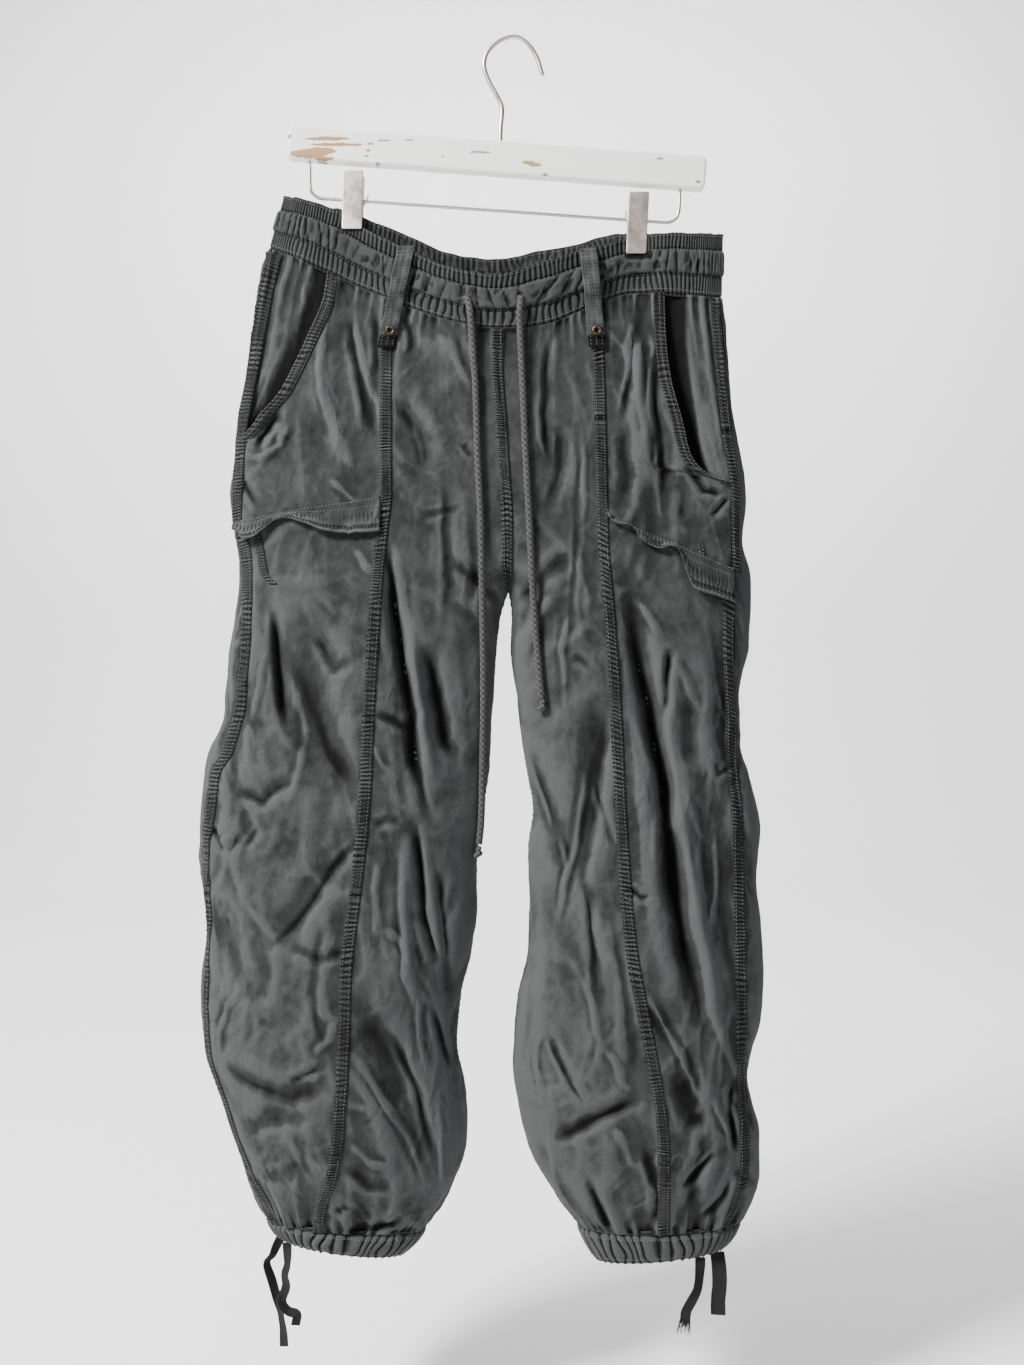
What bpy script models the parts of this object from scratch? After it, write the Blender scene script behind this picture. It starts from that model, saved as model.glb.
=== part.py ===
"""Grey washed cargo pants with balloon legs, hung by two clips from a wooden hanger.

Lengths are in millimetres until a mesh is made.  x runs to the viewer's right, "down" is the distance
below the point where the hook rests, and y is negative towards the front.  Sides are the wearer's own,
so the right leg lies at negative x.  Each leg is one smooth tube, P(row, turn): row counts down the
section table, and turn goes round from the inner edge (-1) over the front to the outer fold (0) and
round the back to the inner edge again (1).  The panels are patches of that tube.
"""

import math
from collections import namedtuple

import bmesh
import bpy
import numpy as np
from mathutils import Matrix, Vector
from mathutils.bvhtree import BVHTree

MM = 0.001
CLOTH = 1.6                 # thickness of a panel's wall
BAND = 2.0                  # thickness of the waistband's wall
OVERLAY = 1.1               # thickness of a strip that lies on a panel
SEAM_GAP = 0.36             # clear space between two pieces that are sewn together
REST_GAP = 0.6              # clear space under a strip that lies on a panel
ROUNDNESS = 0.75            # exponent of the tube's section: 1 is an ellipse, less is boxier

WAIST_ROW = 1               # row of the seam under the waistband
POCKET_END_ROW = 5          # the row just below the pocket opening
FLAP_ROW = 7                # row of the seam between the upper and the lower side panel
FLY_END_ROW = 8
CASING_ROW = 22             # row of the seam over the hem casing
HEM_ROW = 23
DIP_FADE_ROWS = 3.0         # rows over which the waist seam's own dip dies out down the leg
CROTCH_DOWN = 496

WAISTBAND_END = 0.965       # the waistband's lower edge, in rows: just above the seam
RIBS_FRONT = 46
RIBS_BACK = 30
RIB_HEIGHT = 0.7
PUFF_HEIGHT = 1.5
CHANNEL_BULGE = 2.2
CASING_WAVES = 14
CASING_WAVE_HEIGHT = 1.7
CASING_START = 0.04         # rows between the seam and the casing's first ring of points

Section = namedtuple("Section", "outer_x outer_down inner_down")
Waist = namedtuple("Waist", "x top seam back_top half_depth")
Depth = namedtuple("Depth", "down front back")
Closing = namedtuple("Closing", "down turn")
Place = namedtuple("Place", "down x")
Fold = namedtuple("Fold", "face height width path")
Leg = namedtuple("Leg", "name side sections inseam side_seam felled_seam pocket folds")
Patch = namedtuple("Patch", "points normals")

WAIST = [Waist(*row) for row in (
    (-219, 139, 188, 139, 6.0), (-186, 146, 201, 146, 8.0), (-160, 155, 213, 151, 5.0),
    (-143, 165, 221, 157, 2.8), (-118, 180, 232, 166, 6.0), (-91, 194, 244, 176, 10.0),
    (-54, 210, 257, 189, 15.0), (-14, 217, 264, 193, 17.0), (24, 206, 261, 186, 15.0),
    (60, 193, 247, 181, 10.0), (87, 186, 234, 175, 6.0), (111, 178, 229, 174, 2.8),
    (131, 176, 229, 175, 5.5), (168, 176, 232, 175, 8.0), (189, 176, 233, 176, 6.0))]

DEPTHS = [Depth(*row) for row in (
    (240, 15, 15), (320, 21, 24), (400, 27, 33), (480, 33, 37), (560, 38, 40), (700, 45, 45),
    (850, 54, 52), (950, 56, 54), (1010, 50, 49), (1050, 38, 38), (1095, 26, 26))]

# How far the section has turned at the inner edge: half a turn of the tube's front above the crotch,
# where the two halves meet in the centre seam, and the whole front below it.
CLOSINGS = [Closing(*row) for row in (
    (217, 0.5), (392, 0.5), (424, 0.54), (448, 0.61), (472, 0.74), (CROTCH_DOWN, 1.0), (1100, 1.0))]

CENTRE_SEAM = [Place(*row) for row in (
    (190, -14), (298, -14), (343, -11), (388, -8), (433, -5), (CROTCH_DOWN, -4))]

RIGHT_SECTIONS = [Section(*row) for row in (
    (-206, 139, 217), (-219, 188, 264), (-229, 235, 292), (-237, 284, 322), (-243, 334, 350),
    (-248, 379, 370), (-253, 410, 386), (-251, 440, 400), (-245, 473, 448), (-246, 498, 496),
    (-254, 550, 552), (-258, 608, 606), (-273, 649, 651), (-279, 694, 694), (-280, 739, 737),
    (-276, 793, 788), (-279, 847, 847), (-276, 901, 901), (-260, 950, 950), (-251, 980, 980),
    (-241, 1007, 1007), (-231, 1034, 1036), (-220, 1056, 1066), (-208, 1073, 1089))]

LEFT_SECTIONS = [Section(*row) for row in (
    (189, 176, 217), (188, 233, 264), (192, 280, 292), (197, 329, 322), (204, 374, 350),
    (209, 415, 370), (206, 451, 386), (213, 490, 400), (211, 541, 448), (202, 595, 496),
    (205, 635, 552), (215, 676, 613), (220, 712, 667), (216, 753, 716), (222, 793, 766),
    (224, 833, 815), (220, 881, 869), (209, 926, 919), (213, 953, 950), (220, 982, 977),
    (220, 1016, 1009), (214, 1040, 1036), (203, 1060, 1064), (190, 1082, 1094))]

RIGHT_INSEAM = [Place(*row) for row in (
    (CROTCH_DOWN, -4), (523, -12), (595, -18), (653, -21), (694, -26), (730, -32), (788, -34),
    (820, -39), (851, -47), (901, -51), (937, -45), (977, -41), (1006, -45), (1036, -57),
    (1066, -78), (1089, -97))]

LEFT_INSEAM = [Place(*row) for row in (
    (CROTCH_DOWN, -4), (523, -1), (550, -1), (595, 4), (649, 11), (694, 18), (730, 14), (775, 16),
    (820, 13), (865, 4), (919, 1), (959, 5), (1004, 18), (1040, 40), (1064, 58), (1094, 74))]

RIGHT_SIDE_SEAM = [Place(*row) for row in (
    (188, -217), (284, -235), (379, -246), (440, -248), (473, -242), (500, -240), (550, -242),
    (600, -245), (640, -255), (662, -267), (739, -274), (793, -271), (847, -274), (901, -271),
    (950, -255), (1007, -236), (1056, -215), (1089, -202))]

LEFT_SIDE_SEAM = [Place(*row) for row in (
    (233, 178), (289, 182), (361, 188), (415, 195), (631, 196), (703, 201), (883, 202),
    (1000, 206), (1036, 200), (1060, 188), (1094, 177))]

RIGHT_FELLED_SEAM = [Place(*row) for row in (
    (180, -106), (285, -113), (415, -112), (446, -115), (505, -120), (595, -125), (685, -129),
    (775, -138), (829, -144), (901, -146), (955, -149), (1000, -155), (1045, -169), (1089, -172))]

LEFT_FELLED_SEAM = [Place(*row) for row in (
    (180, 70), (283, 76), (451, 79), (526, 85), (613, 90), (721, 95), (793, 100), (829, 105),
    (865, 112), (901, 119), (973, 129), (1094, 132))]

RIGHT_POCKET = [Place(*row) for row in (
    (180, -164), (232, -170), (269, -184), (300, -197), (322, -209), (338, -223), (354, -236),
    (362, -246))]

LEFT_POCKET = [Place(*row) for row in (
    (180, 136), (262, 137), (307, 141), (343, 150), (374, 157), (388, 165), (396, 177), (401, 194))]

RIGHT_FOLDS = [Fold(*row) for row in (
    (-1, 4, 22, ((-90, 248), (-58, 290), (-36, 330))),
    (-1, -9, 12, ((-109, 470), (-97, 570), (-86, 650), (-73, 690))),
    (-1, 6, 13, ((-94, 505), (-84, 590), (-66, 685))),
    (-1, -5, 10, ((-79, 540), (-61, 630), (-43, 650))),
    (-1, -9, 26, ((-190, 505), (-173, 630), (-138, 694))),
    (-1, 5, 13, ((-232, 610), (-230, 650), (-220, 672))),
    (-1, -5, 13, ((-147, 720), (-165, 748), (-210, 815))),
    (-1, -4, 12, ((-255, 916), (-200, 935), (-151, 919))),
    (-1, -6, 13, ((-142, 838), (-115, 892), (-70, 1018))),
    (-1, -4, 10, ((-111, 874), (-84, 937), (-68, 1009))),
    (-1, 4, 13, ((-171, 262), (-168, 325), (-140, 403))),
    (-1, -7, 9, ((-209, 520), (-200, 604), (-196, 631))),
    (1, -8, 18, ((-70, 520), (-95, 640), (-120, 720))),
    (1, 6, 15, ((-185, 380), (-190, 560), (-205, 700))),
    (1, -6, 16, ((-160, 470), (-150, 600), (-175, 760))),
    (1, -5, 14, ((-235, 800), (-170, 880), (-90, 920))),
    (1, -5, 13, ((-90, 860), (-130, 950), (-150, 1030))))]

LEFT_FOLDS = [Fold(*row) for row in (
    (-1, -12, 14, ((98, 480), (103, 545), (130, 667), (137, 775), (168, 919))),
    (-1, 6, 11, ((96, 560), (112, 631), (124, 757), (158, 910))),
    (-1, 8, 14, ((140, 595), (149, 721), (185, 919))),
    (-1, -5, 9, ((154, 586), (154, 658))),
    (-1, -4, 12, ((29, 271), (33, 325), (35, 433))),
    (-1, -6, 11, ((11, 635), (38, 712), (50, 757))),
    (-1, -5, 11, ((74, 577), (60, 685), (45, 757))),
    (-1, -4, 14, ((24, 973), (78, 955), (114, 941))),
    (-1, -5, 11, ((11, 964), (42, 1027), (70, 1070))),
    (-1, -4, 10, ((186, 919), (200, 941), (215, 982))),
    (-1, 4, 12, ((107, 250), (110, 330), (114, 420))),
    (1, -8, 18, ((45, 520), (70, 650), (95, 740))),
    (1, 6, 15, ((140, 380), (150, 560), (165, 720))),
    (1, -7, 15, ((110, 470), (120, 620), (150, 790))),
    (1, -5, 14, ((190, 820), (130, 890), (50, 930))),
    (1, -5, 13, ((60, 850), (95, 950), (120, 1030))))]

RIGHT_LEG = Leg("right", -1, RIGHT_SECTIONS, RIGHT_INSEAM, RIGHT_SIDE_SEAM, RIGHT_FELLED_SEAM,
                RIGHT_POCKET, RIGHT_FOLDS)
LEFT_LEG = Leg("left", 1, LEFT_SECTIONS, LEFT_INSEAM, LEFT_SIDE_SEAM, LEFT_FELLED_SEAM,
               LEFT_POCKET, LEFT_FOLDS)

STITCHED_BAND_HALF = 4.5
FLAP_DROP = 17              # height of the loose flap
FACING_UNDERLAP = 7         # how far the pocket facing runs on behind the opening's edge
FACING_SINK = 6.5           # how far the facing lies behind the opening's edge, at most
FACING_SINK_LEAST = 3.3
FACING_RAMP = (0.0, 0.15, 0.35, 0.65, 0.97, 1.0)
FACING_MARGIN = {"right": 0.025, "left": 0.004}     # turn between the side seam and the facing's edge

LoopStrip = namedtuple("LoopStrip", "name top_x top_down foot_x foot_down")
BELT_LOOPS = (LoopStrip("right", -95, 190, -113, 281), LoopStrip("left", 67, 192, 75, 280))
LOOP_WIDTH = 14
LOOP_THICKNESS = 1.8
LOOP_REACH = 6.5            # how far round each point of a loop the cloth under it is looked for
RIVET_RADIUS = 4.6
RIVET_HEIGHT = 1.6

String = namedtuple("String", "name path")
STRING_RADIUS = 3.1
STRINGS = (
    String("right", ((-41, 237), (-38, 250), (-36, 276), (-33, 320), (-31, 380), (-28, 440),
                     (-27, 500), (-26, 580), (-27, 660), (-28, 700), (-30, 722))),
    String("left", ((7, 237), (6, 255), (7, 280), (9, 325), (11, 375), (14, 430), (17, 490),
                    (20, 535), (23, 570), (25, 592))))
KNOT_RADIUS = 5.6

# A tie leaves the hem's edge at a turn of its leg; its path is (x, y, down) from there.
Tie = namedtuple("Tie", "name leg turn width path")
TIE_THICKNESS = 1.3
ANKLE_TIES = (
    Tie("right_outer", RIGHT_LEG, -0.064, 8, (
        (0, 0, 0.5), (-4, -3, 8), (-7, -5, 15), (-12, -5, 22), (-8, -2, 38), (-4, 1, 56), (-1, 0, 67),
        (2, -1, 84), (3, -3, 97))),
    Tie("right_inner", RIGHT_LEG, -0.173, 8, (
        (0, 0, 0.5), (1, -5, 17), (-1, -7, 26), (0, -6, 37), (-4, -4, 51), (1, -2, 60), (9, -3, 63),
        (8, -4, 72))),
    Tie("left_inner", LEFT_LEG, -0.307, 9, (
        (0, 0, 0.5), (-1, -4, 10), (-3, -6, 25), (-8, -6, 36), (-13, -5, 46), (-14, -4, 55))),
    Tie("left_outer", LEFT_LEG, -0.18, 13, (
        (0, 0, 0.5), (1, -5, 15), (1, -6, 27), (0, -5, 41), (0, -5, 54))))
FRAY_STRANDS = 9
FRAY_LENGTHS = (9, 13, 11, 15, 12, 16, 10, 13, 8)

HANGER_TILT = math.radians(4.3)
BOARD_CENTRE = (-14.5, 108.0)           # x, down
BOARD_SIZE = (376.0, 12.0, 30.0)
BOARD_CORNER = 5.0
HOOK_RADIUS = 2.0
RAIL_RADIUS = 1.5
BORE_CLEARANCE = 0.3
BORE_DEPTH = 14.0
HOOK_PATH = ((-11.7, 98), (-11.0, 80), (-9.9, 62), (-15, 50), (-22, 37), (-26, 24), (-23.4, 12.6),
             (-15, 3.6), (-7, -0.6), (0, -2), (6, -1), (14.4, 5.4), (21.6, 17), (26.6, 33.3))
RAIL_PATH = ((-183, 107), (-182.5, 130), (-181, 138), (-174, 143.2), (-164, 144.2), (-100, 148.6),
             (0, 155.6), (80, 161.3), (130, 164.8), (140, 165), (147, 161), (149.5, 152),
             (150.3, 132))

Clip = namedtuple("Clip", "name x top bottom lean")
CLIPS = (Clip("right", -143.0, 121.0, 172.0, -1.6), Clip("left", 113.0, 140.0, 194.0, -2.6))
CLIP_WIDTH = 18.0
CLIP_PLATE = 1.3
CLIP_TOP_HALF = 5.5         # half the space between a clip's plates at the top, and at the rail
CLIP_RAIL_HALF = 6.0
CLIP_GRIP = 0.4             # clear space between a plate and the cloth it holds
SPRING_RADIUS = 5.4
SPRING_LENGTH = 12.0

CLOTH_FINISH = ((0.125, 0.13, 0.135, 1), 0.9, 0.0)
BAND_FINISH = ((0.085, 0.088, 0.092, 1), 0.92, 0.0)
TIE_FINISH = ((0.035, 0.034, 0.036, 1), 0.95, 0.0)
PAINT_FINISH = ((0.86, 0.88, 0.9, 1), 0.5, 0.0)
NICKEL_FINISH = ((0.62, 0.58, 0.53, 1), 0.34, 1.0)
BRASS_FINISH = ((0.11, 0.085, 0.05, 1), 0.45, 0.9)


def smoothstep(value):
    value = np.clip(value, 0.0, 1.0)
    return value * value * (3.0 - 2.0 * value)


def smooth(table, column, at):
    """Read one column of a table at a place in its first column, on a curve with no overshoot."""
    knots = np.array([row[0] for row in table], float)
    values = np.array([getattr(row, column) for row in table], float)
    return cubic(knots, values, at)


def cubic(knots, values, at):
    span = np.diff(knots)
    slope = np.diff(values) / span
    both = slope[:-1] * slope[1:]
    total = np.where(both > 0, slope[:-1] + slope[1:], 1.0)
    tangent = np.concatenate(([slope[0]], np.where(both > 0, 2.0 * both / total, 0.0), [slope[-1]]))
    at = np.clip(at, knots[0], knots[-1])
    cell = np.clip(np.searchsorted(knots, at, side="right") - 1, 0, len(span) - 1)
    t = (at - knots[cell]) / span[cell]
    rise = (3.0 - 2.0 * t) * t * t
    lead = t * (1.0 - t) * (1.0 - t) * span[cell]
    trail = t * t * (t - 1.0) * span[cell]
    return (values[cell] * (1.0 - rise) + values[cell + 1] * rise
            + tangent[cell] * lead + tangent[cell + 1] * trail)


def inner_edge(leg, down):
    return np.where(down <= CROTCH_DOWN, smooth(CENTRE_SEAM, "x", down), smooth(leg.inseam, "x", down))


def rows_of(leg, row):
    knots = np.arange(len(leg.sections), dtype=float)
    columns = [cubic(knots, np.array(column, float), row) for column in zip(*leg.sections)]
    outer_x, outer_down, inner_down = columns
    return outer_x, outer_down, inner_edge(leg, inner_down), inner_down


def waist_edges(x, face):
    """The top edge and the lower seam of the waistband, on the front (-1) or the back (1)."""
    top = smooth(WAIST, "top", x)
    seam = smooth(WAIST, "seam", x)
    back_top = smooth(WAIST, "back_top", x)
    return np.where(face < 0, top, back_top), np.where(face < 0, seam, back_top + seam - top)


def down_at(leg, row, x, face):
    """The height of a row where it crosses x."""
    outer_x, outer_down, inner_x, inner_down = rows_of(leg, row)
    across = (x - outer_x) / (inner_x - outer_x)
    top, seam = waist_edges(x, face)
    level = outer_down + (inner_down - outer_down) * across
    first_x, first_down, first_inner_x, first_inner_down = rows_of(leg, np.full_like(row, WAIST_ROW))
    first_across = np.clip((x - first_x) / (first_inner_x - first_x), 0, 1)
    dip = seam - (first_down + (first_inner_down - first_down) * first_across)
    fade = 1.0 - smoothstep((row - WAIST_ROW) / DIP_FADE_ROWS)
    return np.where(row < WAIST_ROW, top + (seam - top) * row, level + dip * fade)


def fold_height(leg, face, x, down):
    """The height that the leg's folds add to the smooth tube."""
    total = np.zeros_like(x)
    for fold in leg.folds:
        path = np.array(fold.path, float)
        nearest = np.full_like(x, 1e9)
        along = np.zeros_like(x)
        length = np.linalg.norm(np.diff(path, axis=0), axis=1)
        walked = 0.0
        for start, end, reach in zip(path[:-1], path[1:], length):
            t = np.clip(((x - start[0]) * (end - start)[0] + (down - start[1]) * (end - start)[1])
                        / reach ** 2, 0.0, 1.0)
            away = np.hypot(x - start[0] - t * (end - start)[0], down - start[1] - t * (end - start)[1])
            along = np.where(away < nearest, (walked + t * reach) / length.sum(), along)
            nearest = np.minimum(away, nearest)
            walked += reach
        taper = smoothstep(along / 0.3) * smoothstep((1.0 - along) / 0.3)
        total += np.where(face == fold.face, fold.height * taper * np.exp(-(nearest / fold.width) ** 2), 0)
    return total


def tube(leg, row, turn):
    """The point of a leg's outer surface at a row and a turn, as an array (..., 3)."""
    row, turn = np.broadcast_arrays(np.asarray(row, float), np.asarray(turn, float))
    face = np.where(turn < 0, -1, 1)
    outer_x, _, inner_x, inner_down = rows_of(leg, row)
    closing = smooth(CLOSINGS, "turn", inner_down)
    angle = np.pi * np.abs(turn) * closing
    x = outer_x + (inner_x - outer_x) * (1.0 - np.cos(angle)) / (1.0 - np.cos(np.pi * closing))
    down = down_at(leg, row, x, face)
    depth = np.where(face < 0, smooth(DEPTHS, "front", down), smooth(DEPTHS, "back", down))
    flat = smooth(WAIST, "half_depth", x)
    half = flat + (depth - flat) * smoothstep((row - WAIST_ROW) / DIP_FADE_ROWS)
    edge = np.clip(np.sin(np.pi * np.abs(turn)), 0, 1) ** 0.4
    fade = smoothstep(row - WAIST_ROW) * smoothstep((CASING_ROW - row) / 1.5)
    lift = fold_height(leg, face, x, down) * edge * fade
    y = face * (half * np.clip(np.sin(angle), 0, 1) ** ROUNDNESS + lift)
    return np.stack([x, y, -down], axis=-1)


def tube_normals(leg, row, turn):
    """Outward normals of the tube, by central differences."""
    row, turn = np.broadcast_arrays(np.asarray(row, float), np.asarray(turn, float))
    step = 0.004
    near = np.clip(row - 0.02, 0, HEM_ROW)
    far = np.clip(row + 0.02, 0, HEM_ROW)
    down_way = tube(leg, far, turn) - tube(leg, near, turn)
    round_way = (tube(leg, row, np.clip(turn + step, -1, 1)) - tube(leg, row, np.clip(turn - step, -1, 1)))
    normal = -leg.side * np.cross(round_way, down_way)
    return normal / np.maximum(np.linalg.norm(normal, axis=-1, keepdims=True), 1e-9)


def turn_at(leg, row, curve):
    """The turn at which a row crosses a curve that is drawn on the front."""
    row = np.asarray(row, float)
    face = np.full_like(row, -1)
    outer_x, outer_down, inner_x, inner_down = rows_of(leg, row)
    down = 0.5 * (outer_down + inner_down)
    for _ in range(12):
        x = smooth(curve, "x", down)
        down = 0.5 * (down + down_at(leg, row, x, face))
    closing = smooth(CLOSINGS, "turn", inner_down)
    across = np.clip((x - outer_x) / (inner_x - outer_x), 0.0, 1.0)
    return -np.arccos(1.0 - across * (1.0 - np.cos(np.pi * closing))) / (np.pi * closing)


def trim(points, ends=(True, True, True, True)):
    """Draw the patch's edges back by half a seam gap: first row, last row, first and last column."""
    points = points.copy()
    half = SEAM_GAP / 2
    inward = {0: (np.s_[0], np.s_[1]), 1: (np.s_[-1], np.s_[-2]),
              2: (np.s_[:, 0], np.s_[:, 1]), 3: (np.s_[:, -1], np.s_[:, -2])}
    for end, (edge, inside) in inward.items():
        if ends[end]:
            way = points[inside] - points[edge]
            way /= np.linalg.norm(way, axis=-1, keepdims=True)
            points[edge] += way * half
    return points


def patch(leg, rows, first_turn, last_turn, columns, meets_centre=False):
    """A patch of the tube between two turns, given for each row; the last may lie on the centre seam."""
    across = np.linspace(0.0, 1.0, columns + 1)
    turns = first_turn[:, None] + (last_turn - first_turn)[:, None] * across[None, :]
    turns = np.where(np.abs(turns) < 1e-6, 1e-6, turns)
    grid = np.broadcast_to(rows[:, None], turns.shape)
    points = trim(tube(leg, grid, turns))
    normals = tube_normals(leg, grid, turns)
    if meets_centre:
        facing_on = 1.0 - np.abs(unit(points[:, -1] - points[:, -2])[:, 0])
        points[:, -1, 0] += leg.side * facing_on * SEAM_GAP / 2
    return Patch(points, normals)


def unit(vectors):
    return vectors / np.maximum(np.linalg.norm(vectors, axis=-1, keepdims=True), 1e-9)


def finish_mesh(name, bm, material, smooth_angle=40.0):
    bmesh.ops.recalc_face_normals(bm, faces=bm.faces)
    mesh = bpy.data.meshes.new(name)
    bm.to_mesh(mesh)
    bm.free()
    mesh.shade_smooth()
    mesh.set_sharp_from_angle(angle=math.radians(smooth_angle))
    thing = bpy.data.objects.new(name, mesh)
    bpy.context.collection.objects.link(thing)
    mesh.materials.append(material)
    return thing


def wall(name, outer, inner, material, ring=False):
    """A closed wall between two grids of points; a ring joins its last column to its first."""
    rows, columns = outer.shape[:2]
    bm = bmesh.new()
    sheets = [[[bm.verts.new(Vector(point) * MM) for point in line] for line in grid]
              for grid in (outer, inner)]
    last = columns if ring else columns - 1
    for sheet in sheets:
        for i in range(rows - 1):
            for j in range(last):
                k = (j + 1) % columns
                bm.faces.new((sheet[i][j], sheet[i][k], sheet[i + 1][k], sheet[i + 1][j]))
    front, back = sheets
    for i in (0, rows - 1):
        for j in range(last):
            k = (j + 1) % columns
            bm.faces.new((front[i][j], front[i][k], back[i][k], back[i][j]))
    if not ring:
        for j in (0, columns - 1):
            for i in range(rows - 1):
                bm.faces.new((front[i][j], front[i + 1][j], back[i + 1][j], back[i][j]))
    return finish_mesh(name, bm, material)


def panel(name, piece, material, thickness=CLOTH):
    return wall(name, piece.points, piece.points - piece.normals * thickness, material)


def overlay(name, points, normals, material, thickness=OVERLAY):
    """A strip that lies on a panel, made from the panel's own points, moved out."""
    base = points + normals * REST_GAP
    return wall(name, base + normals * thickness, base, material)


def material_of(name, finish):
    colour, roughness, metallic = finish
    material = bpy.data.materials.new(name)
    material.use_nodes = True
    shader = material.node_tree.nodes["Principled BSDF"]
    shader.inputs["Base Color"].default_value = colour
    shader.inputs["Roughness"].default_value = roughness
    shader.inputs["Metallic"].default_value = metallic
    material.diffuse_color = colour
    return material


def stations(first, last):
    """The rows of a panel's grid: one each, and two a row round the pocket's end and the crotch."""
    finer = [row / 2 for row in range(2 * first, 2 * last + 1)
             if row % 2 == 0 or 4 < row / 2 < 7 or 7 < row / 2 < 10]
    return np.array(finer, float)


def make_waistband(face, ribs, levels, material):
    """One half of the waistband, from the right side fold over the centre to the left side fold."""
    name = "waistband_front" if face < 0 else "waistband_back"
    count = 2 * ribs
    place = np.linspace(-1.0, 1.0, count + 1)
    levels = np.array(levels)[:, None]
    sides = []
    for leg, chosen in ((RIGHT_LEG, place <= 0), (LEFT_LEG, place > 0)):
        turn = face * np.clip(1.0 - np.abs(place[chosen]), 1e-6, 1)[None, :]
        turn = np.broadcast_to(turn, (len(levels), turn.shape[1]))
        row = np.broadcast_to(levels, turn.shape)
        sides.append((tube(leg, row, turn), tube_normals(leg, row, turn)))
    points = np.concatenate([side[0] for side in sides], axis=1)
    normals = np.concatenate([side[1] for side in sides], axis=1)
    in_channel = smoothstep((levels - 0.26) / 0.1) * smoothstep((0.74 - levels) / 0.1)
    near_clip = np.min([np.abs(points[..., 0] - clip.x) for clip in CLIPS], axis=0)
    free = smoothstep((near_clip - 12.0) / 14.0)
    ends = smoothstep((1.0 - np.abs(place)) / 0.06)[None, :]
    zigzag = np.where(np.arange(count + 1) % 2 == 0, 1.0, -1.0)[None, :]
    rib = zigzag * (RIB_HEIGHT + (PUFF_HEIGHT - RIB_HEIGHT) * in_channel)
    room = np.clip(np.abs(points[..., 1]) - BAND, 0.0, PUFF_HEIGHT) / PUFF_HEIGHT
    lift = (rib * room + CHANNEL_BULGE * in_channel) * free * ends
    points = trim(points + normals * lift[..., None])
    inner = points - normals * BAND
    inner[..., 1] = face * np.maximum(face * inner[..., 1], SEAM_GAP / 2)
    return wall(name, points, inner, material)


def make_casing(leg, material):
    """The gathered hem: a ring of short waves that rolls in towards its lower edge."""
    count = 4 * CASING_WAVES
    turn = 2.0 * np.arange(count) / count - 1.0 + 1.0 / count
    rows = np.linspace(CASING_ROW + CASING_START, HEM_ROW, 3)
    grid = np.broadcast_to(rows[:, None], (len(rows), count))
    turns = np.broadcast_to(turn[None, :], grid.shape)
    wave = np.sin(2 * np.pi * CASING_WAVES * (turns + 1) / 2 + 0.6)
    level = ((grid - CASING_ROW) / (HEM_ROW - CASING_ROW))
    lift = CASING_WAVE_HEIGHT * wave * (0.35 + 0.65 * level) + 1.6 * np.sin(np.pi * level)
    normals = tube_normals(leg, grid, turns)
    points = tube(leg, grid, turns) + normals * lift[..., None]
    points = trim(points, (True, False, False, False))
    return wall("hem_casing_" + leg.name, points, points - normals * CLOTH, material, ring=True)


def make_leg(leg, cloth, shade):
    """The panels of one leg and the stitched bands on them; returns the patches that carry others."""
    name = leg.name
    body = stations(WAIST_ROW, CASING_ROW)
    upper = stations(WAIST_ROW, FLAP_ROW)
    lower = stations(FLAP_ROW, CASING_ROW)
    felled = turn_at(leg, body, leg.felled_seam)
    side = turn_at(leg, body, leg.side_seam)
    front = patch(leg, body, felled, np.full_like(body, -1.0), 8, meets_centre=True)
    back = patch(leg, body, side, np.full_like(body, 1.0), 9, meets_centre=True)
    opening = np.minimum(turn_at(leg, upper, leg.pocket), turn_at(leg, upper, leg.side_seam))
    side_upper = patch(leg, upper, opening, felled[:len(upper)], 8)
    side_lower = patch(leg, lower, side[-len(lower):], felled[-len(lower):], 8)
    panel("front_panel_" + name, front, cloth)
    panel("back_panel_" + name, back, cloth)
    panel("side_upper_" + name, side_upper, cloth)
    panel("side_lower_" + name, side_lower, cloth)
    make_facing(leg, shade)
    make_flap(leg, cloth)
    make_casing(leg, cloth)
    uppers = len(upper)
    outside = np.concatenate([side_upper.points[:, -2], side_lower.points[1:, -2]])
    seam = 0.5 * (front.points[:, 0] + np.concatenate([side_upper.points[:, -1],
                                                        side_lower.points[1:, -1]]))
    seam_band("felled_band_" + name, outside, seam, front.points[:, 1], front.normals[:, 0], cloth)
    edge_band("side_band_" + name, side_lower, slice(1, None), cloth)
    edge_band("pocket_edge_" + name, side_upper, slice(0, uppers - 2), cloth)
    return front


def seam_band(name, before, seam, after, normal, material):
    """A raised stitched strip over a seam; its edges lie on the facets beside the seam."""
    half = STITCHED_BAND_HALF
    left = seam + unit(before - seam) * np.minimum(half, 0.8 * np.linalg.norm(before - seam, axis=1))[:, None]
    right = seam + unit(after - seam) * np.minimum(half, 0.8 * np.linalg.norm(after - seam, axis=1))[:, None]
    points = np.stack([left, seam, right], axis=1)
    overlay(name, points, np.stack([normal] * 3, axis=1), material)


def edge_band(name, piece, rows, material):
    """A raised stitched strip along a patch's first column."""
    edge = piece.points[rows, 0]
    inside = piece.points[rows, 1] - edge
    width = np.minimum(2 * STITCHED_BAND_HALF, 0.8 * np.linalg.norm(inside, axis=1))[:, None]
    points = np.stack([edge, edge + unit(inside) * width], axis=1)
    overlay(name, points, np.stack([piece.normals[rows, 0], piece.normals[rows, 1]], axis=1), material)


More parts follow.
